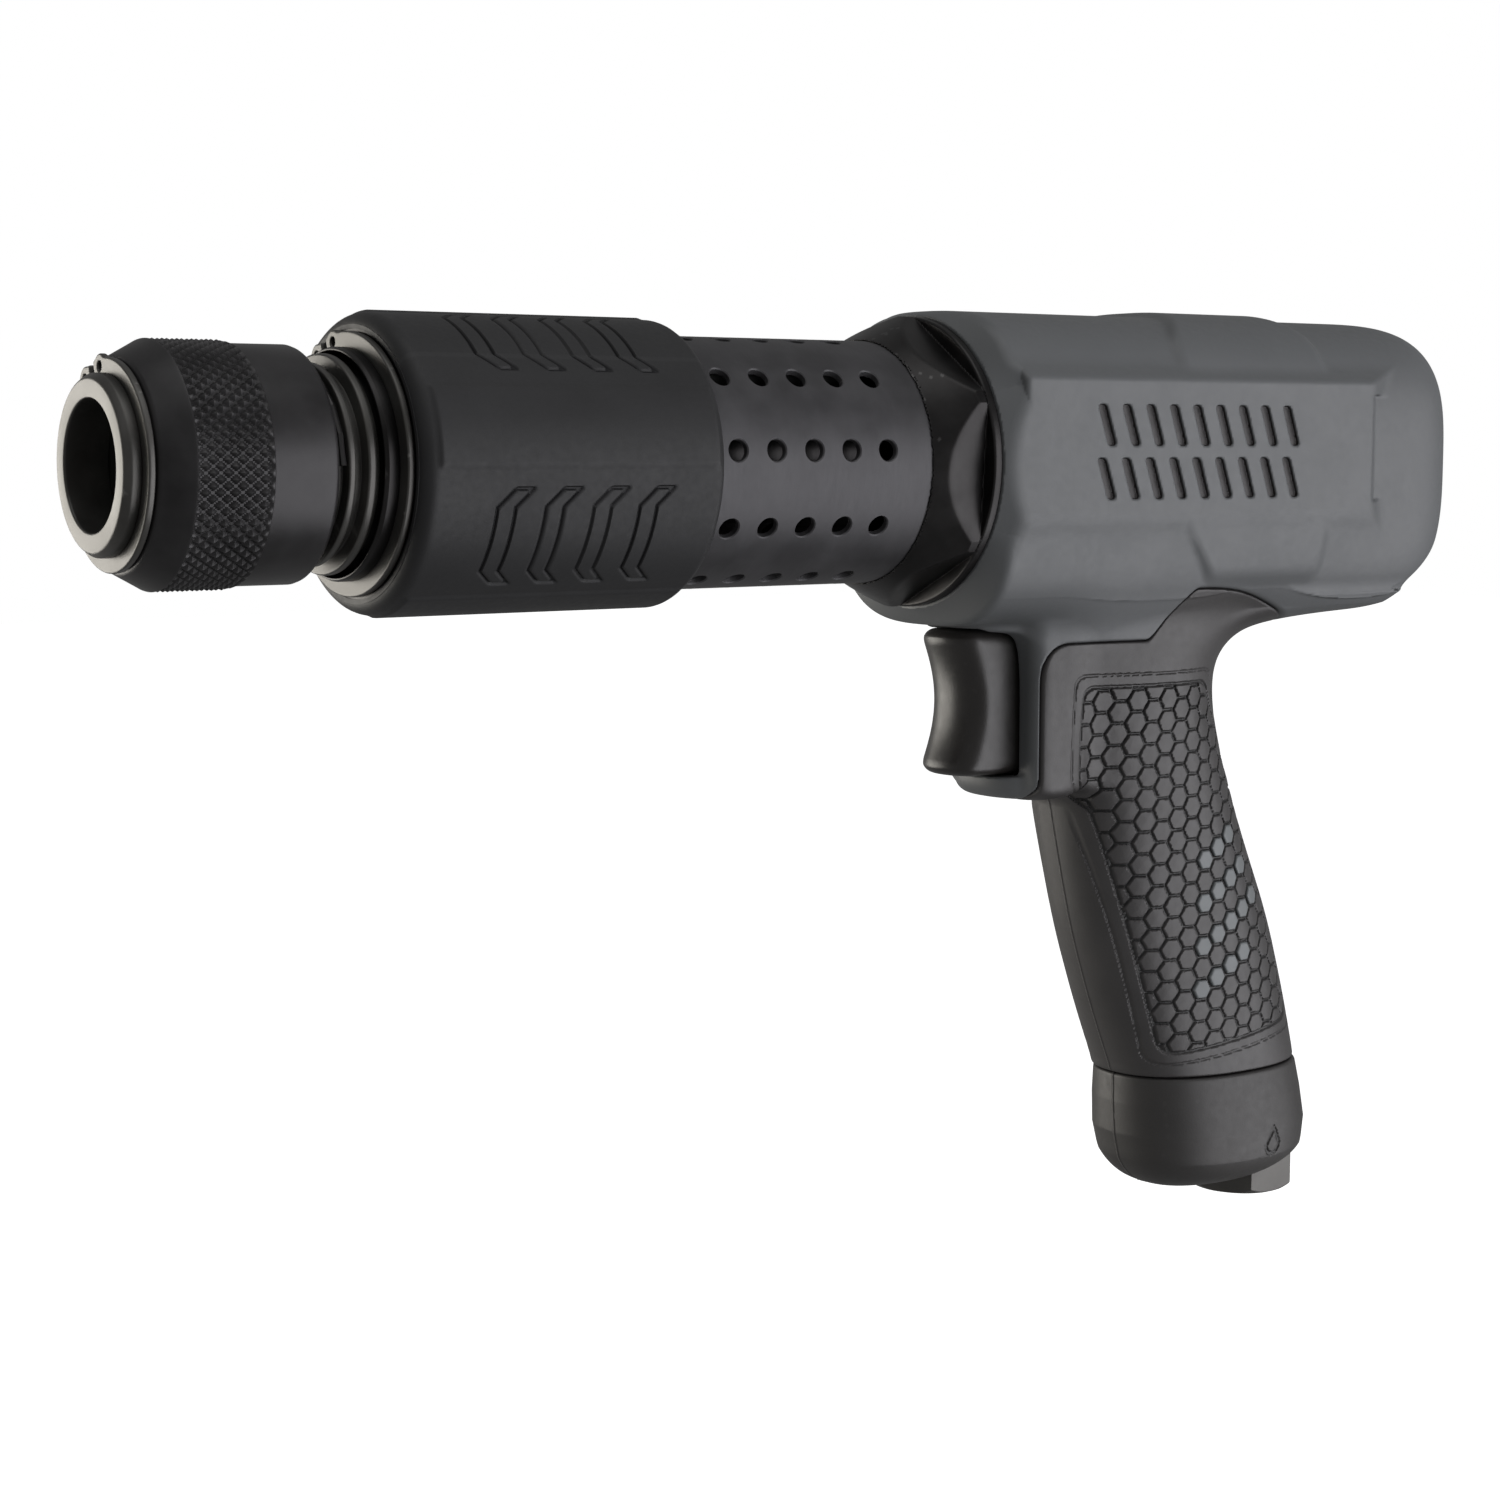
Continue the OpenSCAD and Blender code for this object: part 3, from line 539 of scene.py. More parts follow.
def make_collar():
    """The release collar, with a knurl of truncated pyramids."""
    front_x, rear_x = collar_hi[0], collar_lo[0]
    bore_r, pocket_r = 15.45, 18.05
    knurl_x0, knurl_x1 = -10.3, -23.6
    around, pitch_x, depth = 60, 2.66, 0.8
    per_diamond = 8 if FINE else 4
    skirt_r = collar_r - 0.65
    rows = np.linspace(knurl_x0, knurl_x1, int(round(abs(knurl_x1 - knurl_x0) / pitch_x)) * per_diamond + 1)
    front = [
        (front_x, bore_r), (front_x, 17.8), (front_x - 0.25, 18.3), (front_x - 0.6, 18.6),
        (-9.6, collar_r - 0.32), (-9.9, collar_r - 0.14), (-10.1, collar_r - 0.08),
    ]
    knurl = [(x, collar_r) for x in rows]
    rear = [
        (knurl_x1 - 0.25, skirt_r + 0.3), (knurl_x1 - 0.5, skirt_r), (rear_x + 1.1, skirt_r),
        (rear_x + 0.55, skirt_r - 0.18), (rear_x + 0.15, skirt_r - 0.6), (rear_x, skirt_r - 1.1),
        (rear_x, 18.5), (rear_x + 0.2, 18.3), (-26, 18.3), (-26, bore_r), (-17.6, bore_r), (-10.2, pocket_r),
        (front_x - 1.7, pocket_r), (front_x - 1.7, bore_r),
    ]

    def radius_at(x, r, theta):
        a = theta / (2 * math.pi) * around
        b = (x - knurl_x0) / pitch_x
        near = [np.abs(t - np.round(t)) for t in (a + b, a - b)]
        height = np.minimum(np.minimum(near[0], near[1]) / 0.46, 1)
        knurled = (x <= knurl_x0 + 1e-6) & (x >= knurl_x1 - 1e-6) & (r > skirt_r + 0.1)
        fade = np.clip(np.minimum(knurl_x0 - x, x - knurl_x1) / 0.5, 0, 1)
        peak = r - 0.25 * (1 - fade)
        return np.where(knurled, peak - depth * (1 - height) * (0.35 + 0.65 * fade), r)

    vertices, quads = swept(front + knurl + rear, around * per_diamond, radius_at)
    obj = piece("release_collar_knurled", vertices, outward(vertices, quads), "collar", ["release_collar"],
                knurl_steel)
    obj.data.set_sharp_from_angle(angle=math.radians(32))


def ring_field(x0, x1, inner, outer, gap_angle):
    """An open retaining ring with two pierced ears."""
    a = math.radians(gap_angle)
    side = math.radians(380 / (inner + outer))
    ear_ring = (inner + outer) / 2 + 0.3
    ears = [
        (ear_ring * math.cos(a + s * side), ear_ring * math.sin(a + s * side)) for s in (-1, 1)
    ]

    def field(x, y, z):
        r = np.hypot(y, z)
        ring = np.abs(r - (inner + outer) / 2) - (outer - inner) / 2
        along = y * math.cos(a) + z * math.sin(a)
        across = -y * math.sin(a) + z * math.cos(a)
        for ey, ez in ears:
            ring = smooth_min(ring, np.hypot(y - ey, z - ez) - 2.1, 0.8)
        ring = np.maximum(ring, inner - r)
        ring = smooth_max(ring, -np.maximum(np.abs(across) - 0.8, -along), 0.4)
        for ey, ez in ears:
            ring = smooth_max(ring, 0.85 - np.hypot(y - ey, z - ez), 0.3)
        return smooth_max(ring, np.abs(x - (x0 + x1) / 2) - abs(x1 - x0) / 2, 0.45)

    return field


def make_snap_rings():
    for name, node, inner, outer, angle in (
        ("nose_retaining_ring", "collar_snap_ring", 14.65, 18.0, 108),
        ("sleeve_retaining_ring", "sleeve_snap_ring", 19.9, 23.3, 110),
    ):
        lo, hi = span(node)
        field = ring_field(lo[0], hi[0], inner, outer, angle)
        vertices, quads, normals = net(field, lo, hi, 0.22, mirrored=False)
        piece(name, vertices, quads, ROOT, [node], nose_steel, normals)


def make_rings_behind():
    """The stepped bushing with its ring groove, and the washer."""
    rear_x = retainer_lo[0]
    turned_piece(
        "front_bushing_turned",
        [(rear_x, 19.85), (rear_x, 20.2, 0.2), (-45.2, 20.5, 0.2), (-47.2, 20.5), (-47.2, 19.85),
         (-48.7, 19.85), (-48.7, 20.5), (-53.2, 20.5), (-53.2, 22.5), (-58.5, 22.5), (-58.5, 19.85)],
        0.12, ROOT, ["front_bushing"], black_steel)
    turned_piece(
        "sleeve_washer_turned", [(-48.75, 20.6), (-48.75, 24.4, 0.3), (-50.4, 24.4, 0.3), (-50.4, 20.6)], 0.2,
        ROOT, ["sleeve_washer"], black_steel)


def make_sleeve():
    """The barrel grip: four raised plain panels between four panels of outlined chevrons."""
    front_x, rear_x = sleeve_hi[0], sleeve_lo[0]
    inner_r = shroud_r + 0.05
    step = 0.3 if FINE else 0.6
    turns = int(2 * math.pi * sleeve_r / step) // 4 * 4
    front_round = 3.0
    front = [
        (front_x - front_round * (1 - math.cos(t)), sleeve_r - front_round * (1 - math.sin(t)))
        for t in np.linspace(0, math.pi / 2, 12)
    ]
    body = [(x, sleeve_r) for x in np.arange(front_x - front_round - step, rear_x + 1.6, -step)]
    rear = [(rear_x + 1.2, sleeve_r - 0.1), (rear_x + 0.5, sleeve_r - 0.5), (rear_x + 0.1, sleeve_r - 1.1),
            (rear_x, sleeve_r - 1.6), (rear_x, inner_r)]
    inside = [(front_x - 4.4, inner_r), (front_x - 4.4, 20.7), (front_x - 1.9, 20.7), (front_x - 1.9, 24.5),
              (front_x, 24.5)]
    outline = front + body + rear + inside
    chevron_x = [front_x - 16.4 - 9.7 * k for k in range(4)]

    def relief(x, theta):
        """How far the surface stands proud, and how deep the grooves are."""
        degrees = np.degrees(theta)
        plain = (degrees - 15 + 45) % 90 - 45
        arc = np.abs(plain) * math.pi / 180 * sleeve_r
        half_plain = 15.6 * math.pi / 180 * sleeve_r
        raised = 0.42 * (1 - ramp(arc, half_plain - 0.7, half_plain + 0.9))
        arc_mid = ((degrees - 60 + 45) % 90 - 45) * math.pi / 180 * sleeve_r
        grooves = np.full_like(x, 9.0)
        for centre in chevron_x:
            grooves = np.minimum(grooves, np.abs(chevron_outline(x - centre, arc_mid)) - 0.22)
        groove = 0.42 * (1 - ramp(grooves, -0.06, 0.2))
        body_zone = ramp(front_x - front_round + 0.5 - x, 0, 1.0) * ramp(x - rear_x - 1.0, 0, 1.2)
        return (raised - groove) * body_zone, groove * body_zone

    def radius_at(x, r, theta):
        return np.where(r > 25.5, r + relief(x, theta)[0], r)

    vertices, quads = swept(outline, turns, radius_at)
    theta = np.arctan2(vertices[:, 2], vertices[:, 1])
    r = np.hypot(vertices[:, 1], vertices[:, 2])
    # The groove depth, which the sleeve's look darkens as painted shade.
    sunk = np.where(r > 25.0, relief(vertices[:, 0], theta)[1], 0)
    obj = piece("barrel_sleeve_moulded", vertices, outward(vertices, quads), ROOT, ["barrel_sleeve"],
                sleeve_polymer, sunk=sunk)
    obj.data.set_sharp_from_angle(angle=math.radians(50))


def chevron_outline(along, across):
    """Distance to the outline of one bar whose two ends bend backwards."""
    half_w, flat, reach = 1.8, 6.6, 9.9
    lean = np.maximum(np.abs(across) - flat, 0)
    line = (np.abs(along + lean) - half_w) / np.where(lean > 0, 1.3, 1.0)
    return smooth_max(line, np.abs(across) - reach, 0.5)


def make_shroud():
    """The perforated tube: one tile of wall round each hole, and plain wall before and behind."""
    wall = 1.3
    first_x, pitch, columns, rows, offset = -114.9, 8.65, 5, 10, 6.0
    hole_r, chamfer = 2.1, 0.22
    across, along = 10, 6
    cell_angle = 2 * math.pi / rows
    half_x = pitch / 2
    half_arc = cell_angle * shroud_r / 2
    vertices, faces = [], []

    def vertex(x, arc, r):
        a = arc / shroud_r
        vertices.append((x, r * math.cos(a), r * math.sin(a)))
        return len(vertices) - 1

    def edge_points():
        points = [(half_x, half_arc * (2 * i / across - 1)) for i in range(across)]
        points += [(half_x * (1 - 2 * i / along), half_arc) for i in range(along)]
        points += [(-half_x, half_arc * (1 - 2 * i / across)) for i in range(across)]
        points += [(half_x * (2 * i / along - 1), -half_arc) for i in range(along)]
        return points

    border = edge_points()
    count = len(border)
    for row in range(rows):
        centre_arc = (math.radians(offset) + cell_angle * row) * shroud_r
        for column in range(columns):
            x0 = first_x - pitch * column
            rings = []
            for r, start in ((shroud_r, hole_r + chamfer), (shroud_r - wall, hole_r)):
                for t in (1.0, 0.6, 0.3, 0.1, 0.0) if r == shroud_r else (0.0, 0.3, 1.0):
                    ring = []
                    for u, v in border:
                        a = math.atan2(v / half_arc, u / half_x)
                        cx, cv = start * math.cos(a), start * math.sin(a)
                        ring.append(vertex(x0 + cx + (u - cx) * t, centre_arc + cv + (v - cv) * t, r))
                    rings.append(ring)
                if r == shroud_r:
                    ring = []
                    for u, v in border:
                        a = math.atan2(v / half_arc, u / half_x)
                        cx, cv = hole_r * math.cos(a), hole_r * math.sin(a)
                        ring.append(vertex(x0 + cx, centre_arc + cv, r - chamfer))
                    rings.append(ring)
            for a, b in zip(rings, rings[1:]):
                for i in range(count):
                    faces.append((a[i], a[(i + 1) % count], b[(i + 1) % count], b[i]))
    turns = across * rows
    first_edge = first_x + half_x
    last_edge = first_x - pitch * (columns - 1) - half_x
    start_arc = math.radians(offset) * shroud_r - half_arc
    flange = [(shroud_lo[0] + 2, shroud_r), (shroud_lo[0] + 2, 25.4), (shroud_lo[0], 25.4),
              (shroud_lo[0], shroud_r - wall), (last_edge, shroud_r - wall)]
    front = [(first_edge, shroud_r - wall), (shroud_hi[0], shroud_r - wall), (shroud_hi[0], shroud_r - 0.3),
             (shroud_hi[0] - 0.3, shroud_r), (first_edge, shroud_r)]
    for outline in (front, [(last_edge, shroud_r)] + flange):
        loops = []
        for x, r in outline:
            loops.append([vertex(x, start_arc + 2 * math.pi * shroud_r * j / turns, r) for j in range(turns)])
        for a, b in zip(loops, loops[1:]):
            for j in range(turns):
                faces.append((a[j], b[j], b[(j + 1) % turns], a[(j + 1) % turns]))
    obj = piece("barrel_shroud_tube", vertices, faces, ROOT, ["barrel_shroud"], black_tube)
    bm = bmesh.new()
    bm.from_mesh(obj.data)
    bmesh.ops.remove_doubles(bm, verts=bm.verts, dist=0.02 * MM)
    bmesh.ops.recalc_face_normals(bm, faces=bm.faces)
    bm.to_mesh(obj.data)
    bm.free()
    obj.data.set_sharp_from_angle(angle=math.radians(35))


NUT_TURN = math.radians(-4)
NUT_FLATS = 51.5


def nut_field(x, y, z):
    """A hexagon on a cone, a round flange behind it and the bore."""
    front_x, cone_x, flats_x = nut_hi[0], -169.4, -171.5
    r = np.hypot(y, z)
    cone_rise = (nut_r - shroud_r - 0.2) / (front_x - cone_x)
    cone = (r - (shroud_r + 0.2) + (x - front_x) * cone_rise) / math.hypot(1, cone_rise)
    hexagon = np.full(np.broadcast(y, z).shape, -99.0)
    for i in range(6):
        a = NUT_TURN + math.radians(60 * i)
        hexagon = np.maximum(hexagon, y * math.cos(a) + z * math.sin(a) - NUT_FLATS / 2)
    head = smooth_max(smooth_max(cone, hexagon, 0.35), flats_x - x, 0.3)
    flange = smooth_max(r - nut_r, x - flats_x, 0.6)
    body = np.minimum(np.maximum(head, r - nut_r), flange)
    body = np.maximum(body, case_front_x - x)
    skirt = np.maximum(r - 28.0, nut_lo[0] - x)
    skirt = np.maximum(skirt, x - case_front_x - 0.2)
    whole = np.minimum(body, skirt)
    bore = np.where(x > -176.0, shroud_r + 0.05, 25.55) - r
    return smooth_max(whole, bore, 0.3)


def make_nut():
    vertices, quads, normals = net(nut_field, nut_lo, nut_hi, 0.33, mirrored=False)
    piece("barrel_nut_hex", vertices, quads, ROOT, ["barrel_nut"], black_steel, normals)


# --- Housing, grip and trigger ---------------------------------------

CASE_HALF_W = 29.3
CASE_POWER = 3.2
PANEL_Y = 30.8
PANEL_TOP, PANEL_FOOT = 16.6, -11.1
PANEL_REAR_X = -275.0
STRAP_X = (-261.0, -228.0)


def case_field(x, y, z):
    """The barrel case: a squared section that closes in a dome at the rear, with straps and side panels."""
    half_z = np.where(z > 0, case_top, case_bottom)
    flat, flat_slope = superellipse(y, z, CASE_HALF_W, half_z, CASE_POWER)
    dome_length, dome_power = 28.4, 4.0
    dome_x = housing_lo[0] + 27.0
    t = np.maximum(dome_x - x, 0) / dome_length
    gauge = (flat**dome_power + t**dome_power) ** (1 / dome_power)
    slope = gauge ** (1 - dome_power) * np.hypot(
        flat ** (dome_power - 1) * flat_slope, t ** (dome_power - 1) / dome_length
    )
    case = (gauge - 1) / np.maximum(slope, 0.01)
    spread = ramp(np.abs(y), 12, 28)
    strap_front, strap_rear = STRAP_X[1] + 7.7 * spread, STRAP_X[0] - 3.3 * spread
    bevel = (np.abs(x - (strap_front + strap_rear) / 2) - (strap_front - strap_rear) / 2 + 2.0 * case) / 2.2
    over = smooth_max(smooth_max(case - 1.1, bevel, 0.6), PANEL_TOP - z, 0.8)
    slant = x + 222 + (PANEL_FOOT - 3.2 - z) * 0.9
    under = smooth_max(np.maximum(slant * 0.5, (STRAP_X[0] - 3.3 - x) * 0.4) + case, case - 1.0, 0.6)
    under = smooth_max(smooth_max(under, z - PANEL_FOOT, 0.8), (-25.5 - z) * 0.6 + case, 1.5)
    case = smooth_min(case, np.minimum(over, under), 0.5)
    # Raised side panels
    side = np.abs(y)
    above = (z - PANEL_TOP) * 0.8 + (side - PANEL_Y) * 0.6
    below = (PANEL_FOOT - z) * 0.45 + (side - PANEL_Y) * 0.89
    behind = (PANEL_REAR_X - x) * 0.4 + (side - PANEL_Y) * 0.92
    steep = (PANEL_REAR_X - x) * 0.75 + (side - PANEL_Y) * 0.66
    notch = smooth_max(-steep, np.abs(z - 2.8) - 11.2, 0.5)
    panel = smooth_max(smooth_max(above, below, 0.7), side - PANEL_Y, 0.7)
    panel = smooth_max(smooth_max(panel, behind, 0.7), -notch, 0.6)
    panel = np.maximum(panel, 24 - side)
    case = smooth_min(case, panel, 0.8)
    # Lower rear corner
    corner = (-x - z - 322.6) * 0.707
    case = smooth_max(case, corner, 2.0)
    # Front face: from a circle round the nut's flange back to the squared section
    r = np.hypot(y, z)
    room = np.maximum(r / flat - (nut_r + 0.4), 2.6)
    front = (x - case_front_x + 3.6 * np.clip((r - nut_r - 0.4) / room, 0, 1.3)) * 0.75
    return smooth_max(case, front, 1.3)


# The grip's front and rear edges, at a few heights
GRIP_LEVELS = (-30.0, -48.0, -60.0, -80.0, -100.0, -118.0, -136.0)
GRIP_FRONTS = (-203.0, -206.6, -209.2, -213.4, -218.2, -224.5, -232.0)
GRIP_REARS = (-250.3, -251.0, -253.8, -261.5, -270.6, -276.1, -280.4)
GRIP_HALF_W = 17.0
GRIP_POWER = 2.3
TRIGGER_FOOT = -69.3
PARTING_DEPTH = 0.12


def grip_edge(z, values):
    """A smooth curve through values given at the grip's levels."""
    levels = np.array(GRIP_LEVELS[::-1])
    table = np.array(values[::-1])
    total = 0
    for shift in (-6.0, -3.0, 0.0, 3.0, 6.0):
        total = total + np.interp(z + shift, levels, table) / 5
    return total


def grip_middle(z):
    """The grip's centre line, leaning backwards towards the foot."""
    return (grip_edge(z, GRIP_FRONTS) + grip_edge(z, GRIP_REARS)) / 2


def grip_field(x, y, z):
    """The grip's leaning column, flaring backwards into the tail under the case."""
    front = grip_edge(z, GRIP_FRONTS)
    flare = 24.0 * np.exp(np.minimum(z + 33.0, 2.0) / 4.4)
    rear = grip_edge(z, GRIP_REARS) - flare
    middle, half = (front + rear) / 2, (front - rear) / 2
    lean = ramp(middle - x, 0, half) * flare / 4.4
    return from_outline(x - middle, y, half, GRIP_HALF_W, GRIP_POWER) * 0.97 / np.hypot(1, lean)


def outer_field(x, y, z):
    """Everything that the hand meets: case, neck, trigger frame, grip and its tail."""
    case = case_field(x, y, z)
    grip = np.maximum(grip_field(x, y, z), z + 30)
    neck = from_outline(x + 220.0, y, 23.0, 15.2, 3.4) + 4.5 * ramp(-z, 42, 68)
    neck = np.maximum(smooth_max(neck, -66.0 - z, 3.0), z + 22)
    behind = np.maximum(-x - 202.0, 0)
    cage = smooth_max(np.abs(y) - 15.2 + 0.03 * behind**2, x + 195.2, 4.0)
    cage = smooth_max(cage, TRIGGER_FOOT - z + 0.02 * behind**2, 5.0)
    cage = np.maximum(np.maximum(cage, -224 - x), z + 24)
    lip = smooth_max(from_outline(x + 200, y, 9.6, 12.5, 2.2), TRIGGER_FOOT - z, 5.0)
    lip = smooth_max(lip, z + 64.3, 0.8)
    cage = smooth_min(cage, np.maximum(lip, -200 - x), 1.2)
    slab = smooth_max(from_outline(x + 200, y, 16.5, 12.0, 3.0), -33.9 - z, 1.0)
    slab = np.maximum(np.maximum(slab, -200 - x), z + 24)
    whole = smooth_min(smooth_min(case, neck, 13.0), slab, 3.0)
    return smooth_min(smooth_min(whole, cage, 4.0), grip, 5.0)


def rubber_zone(x, z):
    """Negative where the outer surface is rubber: a side view of the overmould's edge."""
    rise = ramp(-x, 222.0, 231.0) * 10.8 - 0.008 * np.maximum(-x - 233.0, 0) ** 2
    edge = (z + 36.9 - rise) * 0.8
    under_trigger = smooth_max(x + 150, z + 67.0 + np.maximum(x + 201.0, 0) * 0.6, 3.0)
    return np.minimum(smooth_max(x + 196.6, edge, 6.5), under_trigger)


HEX_PITCH = 4.7
HEX_COLUMN = HEX_PITCH * math.sqrt(3) / 2


def hex_cells(x, z):
    """Distance inside the nearest cell of a honeycomb seen from the side, and the cell's place."""
    u = (x + 225.0) / HEX_COLUMN
    best = np.full(np.broadcast(x, z).shape, -99.0)
    place_u = np.zeros_like(best)
    place_v = np.zeros_like(best)
    base = np.floor(u)
    for shift in (0, 1):
        column = base + shift
        offset = (column % 2) / 2
        v = z / HEX_PITCH - offset
        row = np.round(v)
        dx = np.abs(u - column) * HEX_COLUMN
        dz = np.abs(v - row) * HEX_PITCH
        inside = HEX_PITCH / 2 - np.maximum(dz, dx * math.sqrt(3) / 2 + dz / 2)
        better = inside > best
        best = np.where(better, inside, best)
        place_u = np.where(better, column, place_u)
        place_v = np.where(better, row + offset, place_v)
    return best, place_u, place_v


def grip_frame(x, z):
    """The textured flank: negative inside its rounded border, seen from the side."""
    front = x + 207.2 + 5.3 * ramp(-z, 64, 74) + 0.345 * np.maximum(-z - 66.0, 0)
    rear = grip_middle(z) - x - 20.5 + 7.0 * (1 - ramp(-z, 44, 70))
    top = z + 46.2
    foot = -z - 126.4 - 0.13 * (x + 240)
    return smooth_max(smooth_max(front * 0.95, top, 3.0), smooth_max(rear, foot, 6.0), 4.0)


# Rows of filled cells, each climbing rearwards: the place of a row's front cell, and its number of cells
INLAY_FRONT_COLUMN = -4
INLAY_ROWS = {-24: 4, -22: 5, -20: 4, -18: 3}


def inlay_mask(place_u, place_v):
    """True in the cells that are filled."""
    along = INLAY_FRONT_COLUMN - place_u
    start = place_v - along / 2
    mask = np.zeros(np.shape(place_u), bool)
    for row, count in INLAY_ROWS.items():
        mask |= (along >= 0) & (along < count) & (np.abs(start - row) < 0.25)
    return mask


def grip_relief(x, y, z):
    """How far the rubber's surface sinks at each place."""
    inside = hex_cells(x, z)[0]
    border = grip_frame(x, z)
    groove = 0.5 * (1 - ramp(inside, 0.12, 0.42))
    crown = 0.06 * (1 - ramp(inside, 0.3, HEX_PITCH / 2))
    field = np.where(border < 0, 1.0, 0.0) * ramp(-border, 0.0, 0.6)
    line = 0.45 * (1 - ramp(np.abs(border + 0.1), 0.15, 0.5))
    outer_line = 0.25 * (1 - ramp(np.abs(border - 2.4), 0.12, 0.4))
    flank = ramp(np.abs(y), 4.0, 7.0)
    return np.maximum(np.maximum((groove + crown) * field, line), outer_line) * flank


def cavities(x, y, z):
    """Room inside the housing for the moving parts, and the trigger's pocket."""
    barrel = bar_x(x, y, z, 0, 20.55, -271, 0)
    barrel = np.minimum(barrel, bar_x(x, y, z, 0, 28.1, -184, -150))
    barrel = np.minimum(barrel, bar_x(x, y, z, 0, 25.5, -186, -150))
    throttle_z = (throttle_lo[2] + throttle_hi[2]) / 2
    room = bar_x(x, y, z, throttle_z, 8.55, throttle_spring_lo[0] - 0.1, -203)
    half_w = trigger_hi[1] + 0.45
    foot_z, top_z = trigger_lo[2] - 0.35, trigger_hi[2] + 0.35
    pocket = block(x, y, z, (-209.5, -half_w, foot_z), (-150, half_w, top_z), 1.2)
    tongue = block(x, y, z, (-217, -5.4, -63.2), (-200, 5.4, -56.0), 0.5)
    return np.minimum(np.minimum(barrel, room), np.minimum(pocket, tongue))


def bars_mark(x, z):
    """Two rows of slanted bars: negative inside a bar."""
    pitch, half_w, half_h, lean = 6.4, 1.15, 4.1, 0.35
    result = 99.0
    for row_z in (7.4, -3.2):
        dz = z - row_z
        place = (x + 224.5 - lean * dz) / pitch
        nearest = np.clip(np.round(place), -4, 4)
        dx = (place - nearest) * pitch
        bar = smooth_max(np.abs(dx) - half_w, np.abs(dz) - half_h, 0.9)
        result = np.minimum(result, bar)
    return result


def housing_field(x, y, z):
    outer = outer_field(x, y, z)
    engraved = np.maximum(bars_mark(x, z), 24 - np.abs(y))
    outer = smooth_max(outer, -np.maximum(engraved, -(outer + 0.9)), 0.35)
    keep = smooth_max(outer, 0.12 - rubber_zone(x, z), 0.5)
    return smooth_max(keep, -cavities(x, y, z), 0.5)


def make_housing():
    lo = [case_rear_x - 1, -32, -71]
    hi = [case_front_x + 1, 32, 32]
    vertices, quads, normals = net(housing_field, lo, hi, 0.5)
    sunk = -outer_field(*vertices.T)
    marked = bars_mark(vertices[:, 0], vertices[:, 2]) < 1.0
    sunk = np.where(marked & (np.abs(vertices[:, 1]) > 24), sunk, 0)
    piece("housing_shell", vertices, quads, ROOT, ["housing"], housing_grey, normals, sunk)


def parting_line(y):
    """A fine raised line where the two halves of a mould met."""
    return PARTING_DEPTH * (1 - ramp(np.abs(y), 0.05, 0.3))


def grip_rubber_field(x, y, z):
    outer = outer_field(x, y, z) - parting_line(y) + grip_relief(x, y, z)
    gap = 0.12 - 0.4 * ramp(-outer, 0.9, 1.6)
    keep = smooth_max(outer, rubber_zone(x, z) + gap, 0.5)
    keep = smooth_max(keep, seam_z + 0.15 - z, 0.8)
    inside, place_u, place_v = hex_cells(x, z)
    inlay = np.where(inlay_mask(place_u, place_v), 0.35 - inside, 1.0)
    pocket = np.maximum(np.maximum(inlay, -(outer_field(x, y, z) + 1.2)), 6 - np.abs(y))
    keep = np.maximum(keep, -pocket)
    return np.maximum(keep, -cavities(x, y, z))


def make_grip():
    lo = [-284, -27, seam_z - 0.5]
    hi = [-190, 27, -22]
    vertices, quads, normals = net(grip_rubber_field, lo, hi, 0.38)
    # The relief depth, which the grip's look darkens as painted shade in its grooves.
    sunk = grip_relief(*vertices.T)
    piece("grip_rubber", vertices, quads, ROOT, ["grip_overmold"], grip_rubber, normals, sunk)


def inlay_field(x, y, z):
    inside, place_u, place_v = hex_cells(x, z)
    cell = np.where(inlay_mask(place_u, place_v), 0.42 - inside, 1.0)
    skin = smooth_max(outer_field(x, y, z) - 0.12, cell, 0.5)
    return np.maximum(np.maximum(skin, -(outer_field(x, y, z) + 1.1)), 6 - np.abs(y))


def make_inlays():
    lo = [-262, -18, -117]
    hi = [-237, 18, -72]
    vertices, quads, normals = net(inlay_field, lo, hi, 0.3)
    piece("grip_hex_inlays", vertices, quads, ROOT, ["grip_inlays"], inlay_grey, normals)


def drop_groove(x, y, z):
    """Depth of the groove that draws an oil drop on each side."""
    dz = z + 149.5
    dx = x + 262.0
    belly = np.hypot(dx, dz) - 2.0
    tip = np.maximum(np.abs(dx) * 0.87 + (dz - 3.9) * 0.5, -dz)
    shape = np.minimum(belly, np.where(dz > 0, tip, 9.0))
    return 0.4 * (1 - ramp(np.abs(shape) - 0.25, 0, 0.3)) * ramp(np.abs(y), 8, 10)


def cap_field(x, y, z):
    levels = np.array((cap_foot_z, -152.0, -146.0, -139.0, seam_z))
    centre = np.interp(z, levels, (-257.4, -257.3, -256.8, -256.0, -255.3))
    depth = np.interp(z, levels, (21.5, 24.4, 25.3, 25.0, 24.4))
    width = np.interp(z, levels, (15.0, 18.0, 18.8, 18.2, 17.2))
    side = from_outline(x - centre, y, depth, width, GRIP_POWER)
    cap = smooth_max(side, cap_foot_z - z, 9.0)
    cap = smooth_max(cap, z - seam_z + 0.15, 0.8)
    slant = (-151.5 - z) * 0.95 + (-x - 281.0) * 0.31
    cap = smooth_max(cap, slant, 1.2)
    well = np.maximum(np.hypot(x - inlet_x, y) - 12.6, z + 152.9)
    cap = smooth_max(cap, -well, 1.0)
    return cap - parting_line(y) + drop_groove(x, y, z)


def make_cap():
    vertices, quads, normals = net(cap_field, cap_lo, cap_hi, 0.4)
    # The groove depth, which the cap's look darkens as painted shade.
    sunk = drop_groove(*vertices.T)
    piece("base_cap_moulded", vertices, quads, ROOT, ["base_cap"], cap_rubber, normals, sunk)


